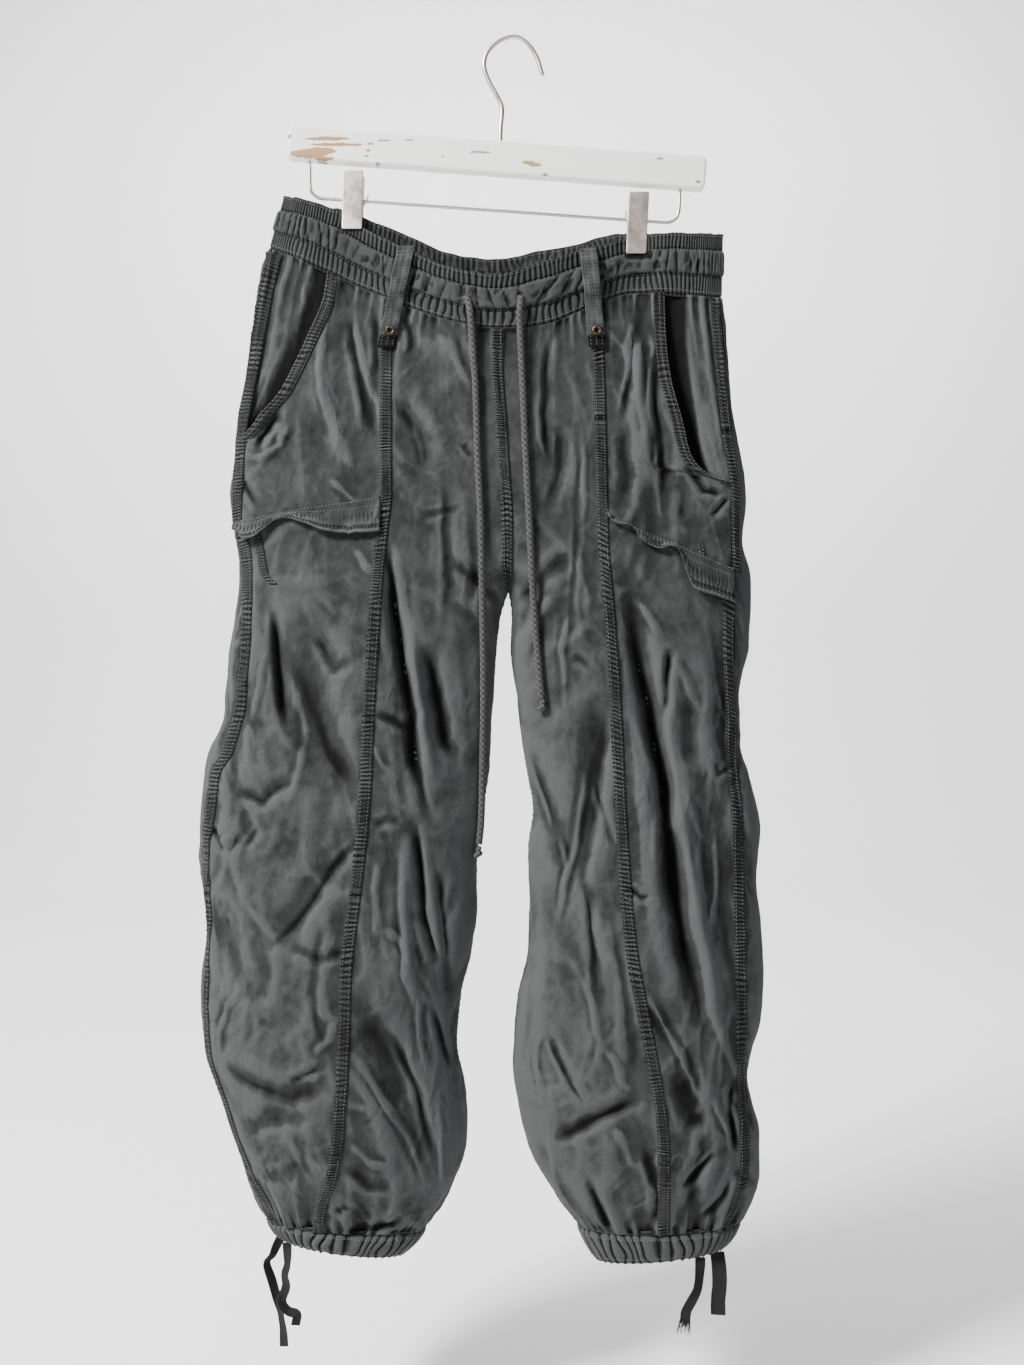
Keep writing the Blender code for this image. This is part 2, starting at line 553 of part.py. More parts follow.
def make_facing(leg, material):
    """The cloth behind the pocket opening; it leaves the side seam and sinks towards the opening."""
    rows = stations(WAIST_ROW, POCKET_END_ROW)[:-1]
    side = turn_at(leg, rows, leg.side_seam)
    deeper = [Place(place.down, place.x - leg.side * FACING_UNDERLAP) for place in leg.pocket]
    edge = np.minimum(turn_at(leg, rows, deeper), side - 0.04)
    piece = patch(leg, rows, side - FACING_MARGIN[leg.name], edge, 5)
    room = np.clip(0.6 * np.abs(piece.points[..., 1]), FACING_SINK_LEAST, FACING_SINK)
    sink = np.array(FACING_RAMP)[None, :] * room
    points = piece.points - piece.normals * sink[..., None]
    wall("pocket_facing_" + leg.name, points, points - piece.normals * CLOTH, material)


def make_flap(leg, material):
    """The short loose flap: sewn along the top, it stands off in uneven waves below."""
    columns = 16
    tops = np.full(2, float(FLAP_ROW))
    side = turn_at(leg, tops, leg.side_seam)[0] - 0.012
    felled = turn_at(leg, tops, leg.felled_seam)[0] + 0.016
    turn = np.linspace(side, felled, columns + 1)
    top_row = np.full(columns + 1, FLAP_ROW - 0.12)
    wave = np.sin(np.arange(columns + 1) * 1.9 + 0.4 * leg.side)
    top = tube(leg, top_row, turn)
    normals = tube_normals(leg, top_row, turn)
    levels = np.array((0.0, 0.5, 1.0))
    grid = []
    for level in levels:
        drop = np.array((0.0, 0.0, -1.0)) * (FLAP_DROP * level * (1.0 + 0.18 * wave))[:, None]
        base = tube(leg, top_row + 0.45 * level, turn)
        stand = (1.3 + level * (2.6 + 1.5 * wave))[:, None]
        point = top + drop
        point[:, 1] = base[:, 1]
        grid.append(point + normals * stand)
    points = np.stack(grid)
    wall("flap_" + leg.name, points, points - np.stack([normals] * 3) * 1.0, material)


def make_fly(right, left, material):
    """The stitched band over the centre seam, from the waistband down towards the crotch."""
    count = int(np.searchsorted(stations(WAIST_ROW, CASING_ROW), FLY_END_ROW)) + 1
    seam = 0.5 * (right.points[:count, -1] + left.points[:count, -1])
    normal = unit(right.normals[:count, -1] + left.normals[:count, -1])
    seam_band("fly_band", right.points[:count, -2], seam, left.points[:count, -2], normal, material)


def surface_tree():
    """A search tree over all the cloth that has been made so far."""
    verts = []
    faces = []
    for thing in bpy.context.collection.objects:
        if thing.type == "MESH":
            start = len(verts)
            verts.extend(vert.co / MM for vert in thing.data.vertices)
            faces.extend([start + index for index in face.vertices] for face in thing.data.polygons)
    return BVHTree.FromPolygons(verts, faces)


def front_y(tree, x, down, reach, default):
    """The y of the foremost cloth within reach of a place."""
    found = []
    for dx in (-reach, 0.0, reach):
        for dz in (-reach, 0.0, reach):
            hit = tree.ray_cast(Vector((x + dx, -400.0, -down + dz)), Vector((0, 1, 0)))
            if hit[0] is not None and hit[0].y < 60.0:
                found.append(hit[0].y)
    return min(found) if found else default


def make_belt_loops(cloth, brass):
    tree = surface_tree()
    for strip in BELT_LOOPS:
        rows = np.linspace(0.0, 1.0, 9)
        centre_x = strip.top_x + (strip.foot_x - strip.top_x) * rows
        down = strip.top_down + (strip.foot_down - strip.top_down) * rows
        y = np.array([min(front_y(tree, x + side * LOOP_WIDTH / 3, d, LOOP_REACH, -12.0)
                          for side in (-1, 0, 1)) for x, d in zip(centre_x, down)])
        y = np.minimum(y, np.minimum(np.append(y[1:], y[-1]), np.append(y[0], y[:-1]))) - REST_GAP
        across = np.array((-0.5, 0.0, 0.5)) * LOOP_WIDTH
        back = np.stack([np.stack([centre_x + dx, y, -down], axis=-1) for dx in across], axis=1)
        front = back + np.array((0.0, -LOOP_THICKNESS, 0.0))
        wall("belt_loop_" + strip.name, front, back, cloth)
        seat = (centre_x[-1] + (centre_x[-2] - centre_x[-1]) * 0.55, y[-1] - LOOP_THICKNESS - 0.3,
                -down[-1] + 6.5)
        make_rivet("rivet_" + strip.name, seat, brass)


def make_rivet(name, seat, material):
    """A plain domed ring with a sunk centre, turned about y."""
    profile = ((0.0, 0.0), (1.0, 0.0), (1.0, 0.55), (0.8, 1.0), (0.55, 0.9), (0.42, 0.5), (0.0, 0.5))
    bm = bmesh.new()
    sides = 16
    rings = []
    for radius, height in profile:
        if radius == 0.0:
            rings.append([bm.verts.new(Vector((seat[0], seat[1] - height * RIVET_HEIGHT, seat[2])) * MM)])
            continue
        ring = []
        for k in range(sides):
            angle = 2 * math.pi * k / sides
            spot = Vector((seat[0] + radius * RIVET_RADIUS * math.cos(angle),
                           seat[1] - height * RIVET_HEIGHT,
                           seat[2] + radius * RIVET_RADIUS * math.sin(angle)))
            ring.append(bm.verts.new(spot * MM))
        rings.append(ring)
    for first, second in zip(rings[:-1], rings[1:]):
        for k in range(sides):
            corners = {first[k % len(first)]: 0, first[(k + 1) % len(first)]: 0,
                       second[(k + 1) % len(second)]: 0, second[k % len(second)]: 0}
            bm.faces.new(list(corners))
    finish_mesh(name, bm, material, 30.0)


def smooth_route(points, count):
    """Points at even steps along a smooth curve through the route's own points."""
    points = np.array(points, float)
    reach = np.concatenate([[0], np.cumsum(np.linalg.norm(np.diff(points, axis=0), axis=1))])
    at = np.linspace(0, reach[-1], count)
    extended = np.vstack([2 * points[0] - points[1], points, 2 * points[-1] - points[-2]])
    cell = np.clip(np.searchsorted(reach, at, side="right") - 1, 0, len(points) - 2)
    t = ((at - reach[cell]) / (reach[cell + 1] - reach[cell]))[:, None]
    a, b, c, d = (extended[cell + k] for k in range(4))
    return 0.5 * ((2 * b) + (c - a) * t + (2 * a - 5 * b + 4 * c - d) * t ** 2
                  + (3 * b - a - 3 * c + d) * t ** 3)


def rod(name, points, radius, material, resolution=2):
    """A round bar or cord along a route: a curve with a bevel and filled caps."""
    curve = bpy.data.curves.new(name, "CURVE")
    curve.dimensions = "3D"
    curve.bevel_depth = radius * MM
    curve.bevel_resolution = resolution
    curve.use_fill_caps = True
    spline = curve.splines.new("POLY")
    spline.points.add(len(points) - 1)
    for target, point in zip(spline.points, points):
        target.co = (*(Vector(point) * MM), 1.0)
    thing = bpy.data.objects.new(name, curve)
    bpy.context.collection.objects.link(thing)
    curve.materials.append(material)
    return thing


def make_drawstrings(material):
    """Each free end lies on the cloth below its hole in the waistband and ends in a knot."""
    tree = surface_tree()
    for string in STRINGS:
        flat = smooth_route(string.path, 27)
        y = [front_y(tree, x, down, STRING_RADIUS + 1.0, -40.0) for x, down in flat]
        y = np.array(y)
        for _ in range(2):
            y = np.minimum(y, 0.5 * (np.append(y[0], y[:-1]) + np.append(y[1:], y[-1])))
        y -= STRING_RADIUS + REST_GAP + 0.1
        route = np.stack([flat[:, 0], y, -flat[:, 1]], axis=-1)
        rod("drawstring_" + string.name, route, STRING_RADIUS, material)
        way = unit(route[-1] - route[-2])
        make_knot("drawstring_knot_" + string.name, route[-1] + way * (KNOT_RADIUS * 1.15 + 0.3), material)


def make_knot(name, centre, material):
    bm = bmesh.new()
    bmesh.ops.create_uvsphere(bm, u_segments=10, v_segments=7, radius=KNOT_RADIUS * MM)
    bmesh.ops.scale(bm, vec=(1.0, 0.8, 1.15), verts=bm.verts)
    bmesh.ops.translate(bm, vec=Vector(centre) * MM, verts=bm.verts)
    finish_mesh(name, bm, material, 180.0)


def make_ankle_ties(material):
    """Flat tapes that leave the hem casings; the left leg's inner one ends in a fray."""
    for tie in ANKLE_TIES:
        path = smooth_route(tie.path, 12) * np.array((1.0, 1.0, -1.0))
        centre = tube(tie.leg, HEM_ROW, tie.turn) + path
        way = unit(np.gradient(centre, axis=0))
        across = unit(np.cross(way, np.array((0.0, -1.0, 0.0))))
        normal = unit(np.cross(across, way))
        edges = np.stack([centre - across * tie.width / 2, centre + across * tie.width / 2], axis=1)
        lift = np.stack([normal] * 2, axis=1) * TIE_THICKNESS / 2
        wall("ankle_tie_" + tie.name, edges + lift, edges - lift, material)
        if tie.name == "left_inner":
            make_fray(centre[-1], way[-1], across[-1], normal[-1], tie.width, material)


def make_fray(end, way, across, normal, width, material):
    """Strands of uneven length on a narrow strip at the tie's end, cut as one comb."""
    strip = 3.0
    pitch = (width + 3.0) / FRAY_STRANDS
    outline = [(-width / 2, 0.3), (width / 2, 0.3)]
    for k in range(FRAY_STRANDS):
        right = width / 2 + 1.5 - k * pitch
        spread = 1.0 - 2.0 * k / (FRAY_STRANDS - 1)
        outline.append((right, strip))
        outline.append((right - 0.5 * pitch + 2.0 * spread, strip + FRAY_LENGTHS[k]))
        outline.append((right - 0.72 * pitch, strip))
    bm = bmesh.new()
    near = [bm.verts.new(Vector(end + across * a + way * b + normal * 0.5) * MM) for a, b in outline]
    far = [bm.verts.new(Vector(end + across * a + way * b - normal * 0.5) * MM) for a, b in outline]
    bm.faces.new(near)
    bm.faces.new(far[::-1])
    for k in range(len(outline)):
        n = (k + 1) % len(outline)
        bm.faces.new((near[k], near[n], far[n], far[k]))
    finish_mesh("ankle_tie_fray", bm, material)


def bore(name, x, down, radius, depth, upward):
    """A cutter for the blind hole that holds a wire's end."""
    length = depth + 20.0
    centre = down + (1 if upward else -1) * (length / 2 - depth)
    bpy.ops.mesh.primitive_cylinder_add(vertices=16, radius=(radius + BORE_CLEARANCE) * MM,
                                        depth=length * MM, location=(x * MM, 0.0, -centre * MM))
    cutter = bpy.context.object
    cutter.name = name
    cutter.hide_render = True
    cutter.display_type = "WIRE"
    return cutter


def make_board(material):
    """The tilted wooden board with rounded edges and the bores for the hook and the rail."""
    bm = bmesh.new()
    bmesh.ops.create_cube(bm, size=1.0)
    bmesh.ops.scale(bm, vec=Vector(BOARD_SIZE) * MM, verts=bm.verts)
    upright = [edge for edge in bm.edges if abs(edge.verts[0].co.y - edge.verts[1].co.y) > 0.5 * MM]
    bmesh.ops.bevel(bm, geom=upright, offset=BOARD_CORNER * MM, segments=4, profile=0.5, affect="EDGES")
    rim = [edge for edge in bm.edges
           if abs(edge.verts[0].co.y - edge.verts[1].co.y) < 1e-6
           and abs(abs(edge.verts[0].co.y) - BOARD_SIZE[1] / 2 * MM) < 1e-6]
    bmesh.ops.bevel(bm, geom=rim, offset=2.0 * MM, segments=2, profile=0.5, affect="EDGES")
    board = finish_mesh("hanger_board", bm, material)
    board.rotation_euler = (0.0, HANGER_TILT, 0.0)
    board.location = (BOARD_CENTRE[0] * MM, 0.0, -BOARD_CENTRE[1] * MM)
    slope = math.tan(HANGER_TILT)
    half = BOARD_SIZE[2] / 2 / math.cos(HANGER_TILT)
    holes = ((HOOK_PATH[0][0], HOOK_RADIUS, False), (RAIL_PATH[0][0], RAIL_RADIUS, True),
             (RAIL_PATH[-1][0], RAIL_RADIUS, True))
    for k, (x, radius, upward) in enumerate(holes):
        edge = BOARD_CENTRE[1] + (x - BOARD_CENTRE[0]) * slope + (half if upward else -half)
        depth_down = edge - BORE_DEPTH if upward else edge + BORE_DEPTH
        cutter = bore(f"bore_{k}", x, depth_down, radius, 0.0, upward)
        cut = board.modifiers.new(cutter.name, "BOOLEAN")
        cut.operation = "DIFFERENCE"
        cut.object = cutter


def make_wires(material):
    hook = smooth_route(HOOK_PATH, 30)
    rod("hanger_hook", [(x, 0.0, -down) for x, down in hook], HOOK_RADIUS, material)
    rail = smooth_route(RAIL_PATH, 26)
    rod("hanger_rail", [(x, 0.0, -down) for x, down in rail], RAIL_RADIUS, material)


def rail_down(x):
    """The rail's height where its straight stretch crosses x."""
    (first_x, first_down), (last_x, last_down) = RAIL_PATH[4], RAIL_PATH[8]
    return first_down + (last_down - first_down) * (x - first_x) / (last_x - first_x)


def make_clips(material):
    """Two plates a clip, bent inwards below the rail to grip the waistband, and a spring at the rail."""
    for clip in CLIPS:
        pivot = rail_down(clip.x)
        grip = smooth(WAIST, "half_depth", np.array(clip.x)) + CLIP_GRIP
        levels = ((clip.top, CLIP_TOP_HALF), (pivot - 8.0, CLIP_RAIL_HALF), (pivot + 6.0, CLIP_RAIL_HALF),
                  (clip.bottom - 14.0, grip), (clip.bottom, grip))
        for face, name in ((-1, "front"), (1, "back")):
            inside = []
            outside = []
            for down, half in levels:
                shift = clip.lean * (down - clip.top) / (clip.bottom - clip.top)
                for line, distance in ((inside, half), (outside, half + CLIP_PLATE)):
                    line.append([(clip.x + shift + side * CLIP_WIDTH / 2, face * distance, -down)
                                 for side in (-1, 1)])
            wall(f"clip_{clip.name}_{name}", np.array(outside, float), np.array(inside, float), material)
        make_spring(clip, pivot, material)


def make_spring(clip, pivot, material):
    """The coil round the rail between a clip's plates, as a plain sleeve with a bore."""
    bm = bmesh.new()
    sides = 16
    slope = math.atan((RAIL_PATH[8][1] - RAIL_PATH[4][1]) / (RAIL_PATH[8][0] - RAIL_PATH[4][0]))
    rings = []
    for radius, end in ((SPRING_RADIUS, -1), (SPRING_RADIUS, 1), (RAIL_RADIUS + 0.35, 1),
                        (RAIL_RADIUS + 0.35, -1)):
        ring = []
        for k in range(sides):
            angle = 2 * math.pi * k / sides
            ring.append(bm.verts.new(Vector((end * SPRING_LENGTH / 2, radius * math.cos(angle),
                                             radius * math.sin(angle))) * MM))
        rings.append(ring)
    for first, second in zip(rings, rings[1:] + rings[:1]):
        for k in range(sides):
            n = (k + 1) % sides
            bm.faces.new((first[k], first[n], second[n], second[k]))
    turn = Matrix.Rotation(slope, 4, "Y")
    shift = Matrix.Translation(Vector((clip.x, 0.0, -pivot)) * MM)
    bmesh.ops.transform(bm, matrix=shift @ turn, verts=bm.verts)
    finish_mesh(f"clip_{clip.name}_spring", bm, material, 30.0)


def main():
    for thing in list(bpy.data.objects):
        bpy.data.objects.remove(thing)
    cloth = material_of("washed_cotton", CLOTH_FINISH)
    shade = material_of("waistband_cotton", BAND_FINISH)
    tie = material_of("dark_tape", TIE_FINISH)
    paint = material_of("white_paint", PAINT_FINISH)
    nickel = material_of("satin_nickel", NICKEL_FINISH)
    brass = material_of("aged_brass", BRASS_FINISH)
    make_waistband(-1, RIBS_FRONT, (0.0, 0.26, 0.38, 0.62, 0.74, WAISTBAND_END), shade)
    make_waistband(1, RIBS_BACK, (0.0, 0.28, 0.5, 0.72, WAISTBAND_END), shade)
    right = make_leg(RIGHT_LEG, cloth, shade)
    left = make_leg(LEFT_LEG, cloth, shade)
    make_fly(right, left, cloth)
    make_belt_loops(cloth, brass)
    make_drawstrings(cloth)
    make_ankle_ties(tie)
    make_board(paint)
    make_wires(nickel)
    make_clips(nickel)


main()
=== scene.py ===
"""Grey washed cargo pants on a clip hanger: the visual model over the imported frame.

Lengths are in millimetres until a mesh is made.  x runs to the viewer's right, "down" is the distance
below the point where the hook rests, and y is negative towards the front.  Sides are the wearer's own.
Each leg is one tube, P(row, turn), as in the frame: row counts down the section table, and turn goes
round from the inner edge (-1) over the front to the outer fold (0) and round the back to the inner edge.
"""

import math
from collections import namedtuple

import bmesh
import bpy
import numpy as np
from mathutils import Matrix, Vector
from mathutils.bvhtree import BVHTree


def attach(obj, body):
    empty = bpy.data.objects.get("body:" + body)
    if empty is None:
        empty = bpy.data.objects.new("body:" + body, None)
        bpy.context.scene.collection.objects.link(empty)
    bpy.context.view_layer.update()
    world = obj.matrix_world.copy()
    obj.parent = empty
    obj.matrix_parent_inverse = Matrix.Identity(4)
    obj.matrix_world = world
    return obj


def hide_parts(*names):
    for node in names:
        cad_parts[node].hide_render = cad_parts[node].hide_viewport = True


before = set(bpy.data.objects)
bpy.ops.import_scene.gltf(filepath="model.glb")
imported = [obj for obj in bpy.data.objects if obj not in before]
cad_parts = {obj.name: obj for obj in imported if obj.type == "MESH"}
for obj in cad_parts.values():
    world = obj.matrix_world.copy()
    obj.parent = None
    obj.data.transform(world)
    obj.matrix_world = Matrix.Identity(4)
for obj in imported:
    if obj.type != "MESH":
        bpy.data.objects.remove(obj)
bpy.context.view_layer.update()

MM = 0.001
CLOTH = 1.3                 # thickness of a panel's wall
HALF_ROOM = 3.2             # the least that a front or a back keeps from the middle of a leg
INNER_ROOM = 1.5            # how much farther in a creased panel's inner face lies, away from its edges
BAND = 1.8                  # thickness of the waistband's wall
SEAM_GAP = 0.36             # clear space between two pieces that are sewn together
REST_GAP = 0.35             # clear space under a strip that lies on a panel
ROUNDNESS = 0.75            # exponent of the tube's section: 1 is an ellipse, less is boxier

WAIST_ROW = 1
FLAP_ROW = 7
FLY_END_ROW = 8
CASING_ROW = 22
HEM_ROW = 23
DIP_FADE_ROWS = 3.0
CROTCH_DOWN = 496
ROW_SPACING = 44.0          # millimetres from one row to the next, about
ROW_STEP = 0.02             # the steps from which a normal is worked out, in rows and in turns
TURN_STEP = 0.004

Section = namedtuple("Section", "outer_x outer_down inner_down")
Waist = namedtuple("Waist", "x top seam back_top half_depth")
Depth = namedtuple("Depth", "down front back")
Closing = namedtuple("Closing", "down turn")
Place = namedtuple("Place", "down x")
Crease = namedtuple("Crease", "face height width lean path")
Leg = namedtuple("Leg", "name side sections inseam side_seam felled_seam pocket folds creases")


def as_table(kind, rows):
    return [kind(*row) for row in rows]


def by_face(front, back):
    """Creases on the front (-1) and the back (1): height, width and lean, and the points of the path."""
    return [Crease(face, *row[:3], row[3:]) for face, rows in ((-1, front), (1, back)) for row in rows]


WAIST = as_table(Waist, (
    (-219, 139, 188, 139, 6.0), (-186, 146, 201, 146, 8.0), (-160, 155, 213, 151, 5.0),
    (-143, 165, 221, 157, 2.8), (-118, 180, 232, 166, 6.0), (-91, 194, 244, 176, 10.0),
    (-54, 210, 257, 189, 15.0), (-14, 217, 264, 193, 17.0), (24, 206, 261, 186, 15.0),
    (60, 193, 247, 181, 10.0), (87, 186, 234, 175, 6.0), (111, 178, 229, 174, 2.8),
    (131, 176, 229, 175, 5.5), (168, 176, 232, 175, 8.0), (189, 176, 233, 176, 6.0)))

DEPTHS = as_table(Depth, (
    (240, 15, 15), (320, 21, 24), (400, 27, 33), (480, 33, 37), (560, 38, 40), (700, 45, 45),
    (850, 54, 52), (950, 56, 54), (1010, 50, 49), (1050, 38, 38), (1095, 26, 26)))

CLOSINGS = as_table(Closing, (
    (217, 0.5), (392, 0.5), (424, 0.54), (448, 0.61), (472, 0.74), (CROTCH_DOWN, 1.0), (1100, 1.0)))

CENTRE_SEAM = as_table(Place, (
    (190, -14), (298, -14), (343, -11), (388, -8), (433, -5), (CROTCH_DOWN, -4)))

RIGHT_SECTIONS = as_table(Section, (
    (-206, 139, 217), (-219, 188, 264), (-229, 235, 292), (-237, 284, 322), (-243, 334, 350),
    (-248, 379, 370), (-253, 410, 386), (-251, 440, 400), (-245, 473, 448), (-246, 498, 496),
    (-254, 550, 552), (-258, 608, 606), (-273, 649, 651), (-279, 694, 694), (-280, 739, 737),
    (-276, 793, 788), (-279, 847, 847), (-276, 901, 901), (-260, 950, 950), (-251, 980, 980),
    (-241, 1007, 1007), (-231, 1034, 1036), (-220, 1056, 1066), (-208, 1073, 1089)))

LEFT_SECTIONS = as_table(Section, (
    (189, 176, 217), (188, 233, 264), (192, 280, 292), (197, 329, 322), (204, 374, 350),
    (209, 415, 370), (206, 451, 386), (213, 490, 400), (211, 541, 448), (202, 595, 496),
    (205, 635, 552), (215, 676, 613), (220, 712, 667), (216, 753, 716), (222, 793, 766),
    (224, 833, 815), (220, 881, 869), (209, 926, 919), (213, 953, 950), (220, 982, 977),
    (220, 1016, 1009), (214, 1040, 1036), (203, 1060, 1064), (190, 1082, 1094)))

RIGHT_INSEAM = as_table(Place, (
    (CROTCH_DOWN, -4), (523, -12), (595, -18), (653, -21), (694, -26), (730, -32), (788, -34),
    (820, -39), (851, -47), (901, -51), (937, -45), (977, -41), (1006, -45), (1036, -57),
    (1066, -78), (1089, -97)))

LEFT_INSEAM = as_table(Place, (
    (CROTCH_DOWN, -4), (523, -1), (550, -1), (595, 4), (649, 11), (694, 18), (730, 14), (775, 16),
    (820, 13), (865, 4), (919, 1), (959, 5), (1004, 18), (1040, 40), (1064, 58), (1094, 74)))

RIGHT_SIDE_SEAM = as_table(Place, (
    (188, -217), (284, -235), (379, -246), (440, -248), (473, -242), (500, -240), (550, -242),
    (600, -245), (640, -255), (662, -267), (739, -274), (793, -271), (847, -274), (901, -271),
    (950, -255), (1007, -236), (1056, -215), (1089, -202)))

LEFT_SIDE_SEAM = as_table(Place, (
    (233, 178), (289, 182), (361, 188), (415, 195), (631, 196), (703, 201), (883, 202),
    (1000, 206), (1036, 200), (1060, 188), (1094, 177)))

RIGHT_FELLED_SEAM = as_table(Place, (
    (180, -106), (285, -113), (415, -112), (446, -115), (505, -120), (595, -125), (685, -129),
    (775, -138), (829, -144), (901, -146), (955, -149), (1000, -155), (1045, -169), (1089, -172)))

LEFT_FELLED_SEAM = as_table(Place, (
    (180, 70), (283, 76), (451, 79), (526, 85), (613, 90), (721, 95), (793, 100), (829, 105),
    (865, 112), (901, 119), (973, 129), (1094, 132)))

RIGHT_POCKET = as_table(Place, (
    (180, -164), (232, -170), (269, -184), (300, -197), (322, -209), (338, -223), (354, -236),
    (362, -246)))

LEFT_POCKET = as_table(Place, (
    (180, 136), (262, 137), (307, 141), (343, 150), (374, 157), (388, 165), (396, 177), (401, 194)))

# The frame's own folds: height is negative in a trough, and the points are (x, down).
RIGHT_FOLDS = by_face((
    (4, 22, 0, (-90, 248), (-58, 290), (-36, 330)),
    (-9, 12, 0, (-109, 470), (-97, 570), (-86, 650), (-73, 690)),
    (6, 13, 0, (-94, 505), (-84, 590), (-66, 685)),
    (-5, 10, 0, (-79, 540), (-61, 630), (-43, 650)),
    (-9, 26, 0, (-190, 505), (-173, 630), (-138, 694)),
    (5, 13, 0, (-232, 610), (-230, 650), (-220, 672)),
    (-5, 13, 0, (-147, 720), (-165, 748), (-210, 815)),
    (-4, 12, 0, (-255, 916), (-200, 935), (-151, 919)),
    (-6, 13, 0, (-142, 838), (-115, 892), (-70, 1018)),
    (-4, 10, 0, (-111, 874), (-84, 937), (-68, 1009)),
    (4, 13, 0, (-171, 262), (-168, 325), (-140, 403)),
    (-7, 9, 0, (-209, 520), (-200, 604), (-196, 631))), (
    (-8, 18, 0, (-70, 520), (-95, 640), (-120, 720)),
    (6, 15, 0, (-185, 380), (-190, 560), (-205, 700)),
    (-6, 16, 0, (-160, 470), (-150, 600), (-175, 760)),
    (-5, 14, 0, (-235, 800), (-170, 880), (-90, 920)),
    (-5, 13, 0, (-90, 860), (-130, 950), (-150, 1030))))

LEFT_FOLDS = by_face((
    (-12, 14, 0, (98, 480), (103, 545), (130, 667), (137, 775), (168, 919)),
    (6, 11, 0, (96, 560), (112, 631), (124, 757), (158, 910)),
    (8, 14, 0, (140, 595), (149, 721), (185, 919)),
    (-5, 9, 0, (154, 586), (154, 658)),
    (-4, 12, 0, (29, 271), (33, 325), (35, 433)),
    (-6, 11, 0, (11, 635), (38, 712), (50, 757)),
    (-5, 11, 0, (74, 577), (60, 685), (45, 757)),
    (-4, 14, 0, (24, 973), (78, 955), (114, 941)),
    (-5, 11, 0, (11, 964), (42, 1027), (70, 1070)),
    (-4, 10, 0, (186, 919), (200, 941), (215, 982)),
    (4, 12, 0, (107, 250), (110, 330), (114, 420))), (
    (-8, 18, 0, (45, 520), (70, 650), (95, 740)),
    (6, 15, 0, (140, 380), (150, 560), (165, 720)),
    (-7, 15, 0, (110, 470), (120, 620), (150, 790)),
    (-5, 14, 0, (190, 820), (130, 890), (50, 930)),
    (-5, 13, 0, (60, 850), (95, 950), (120, 1030))))

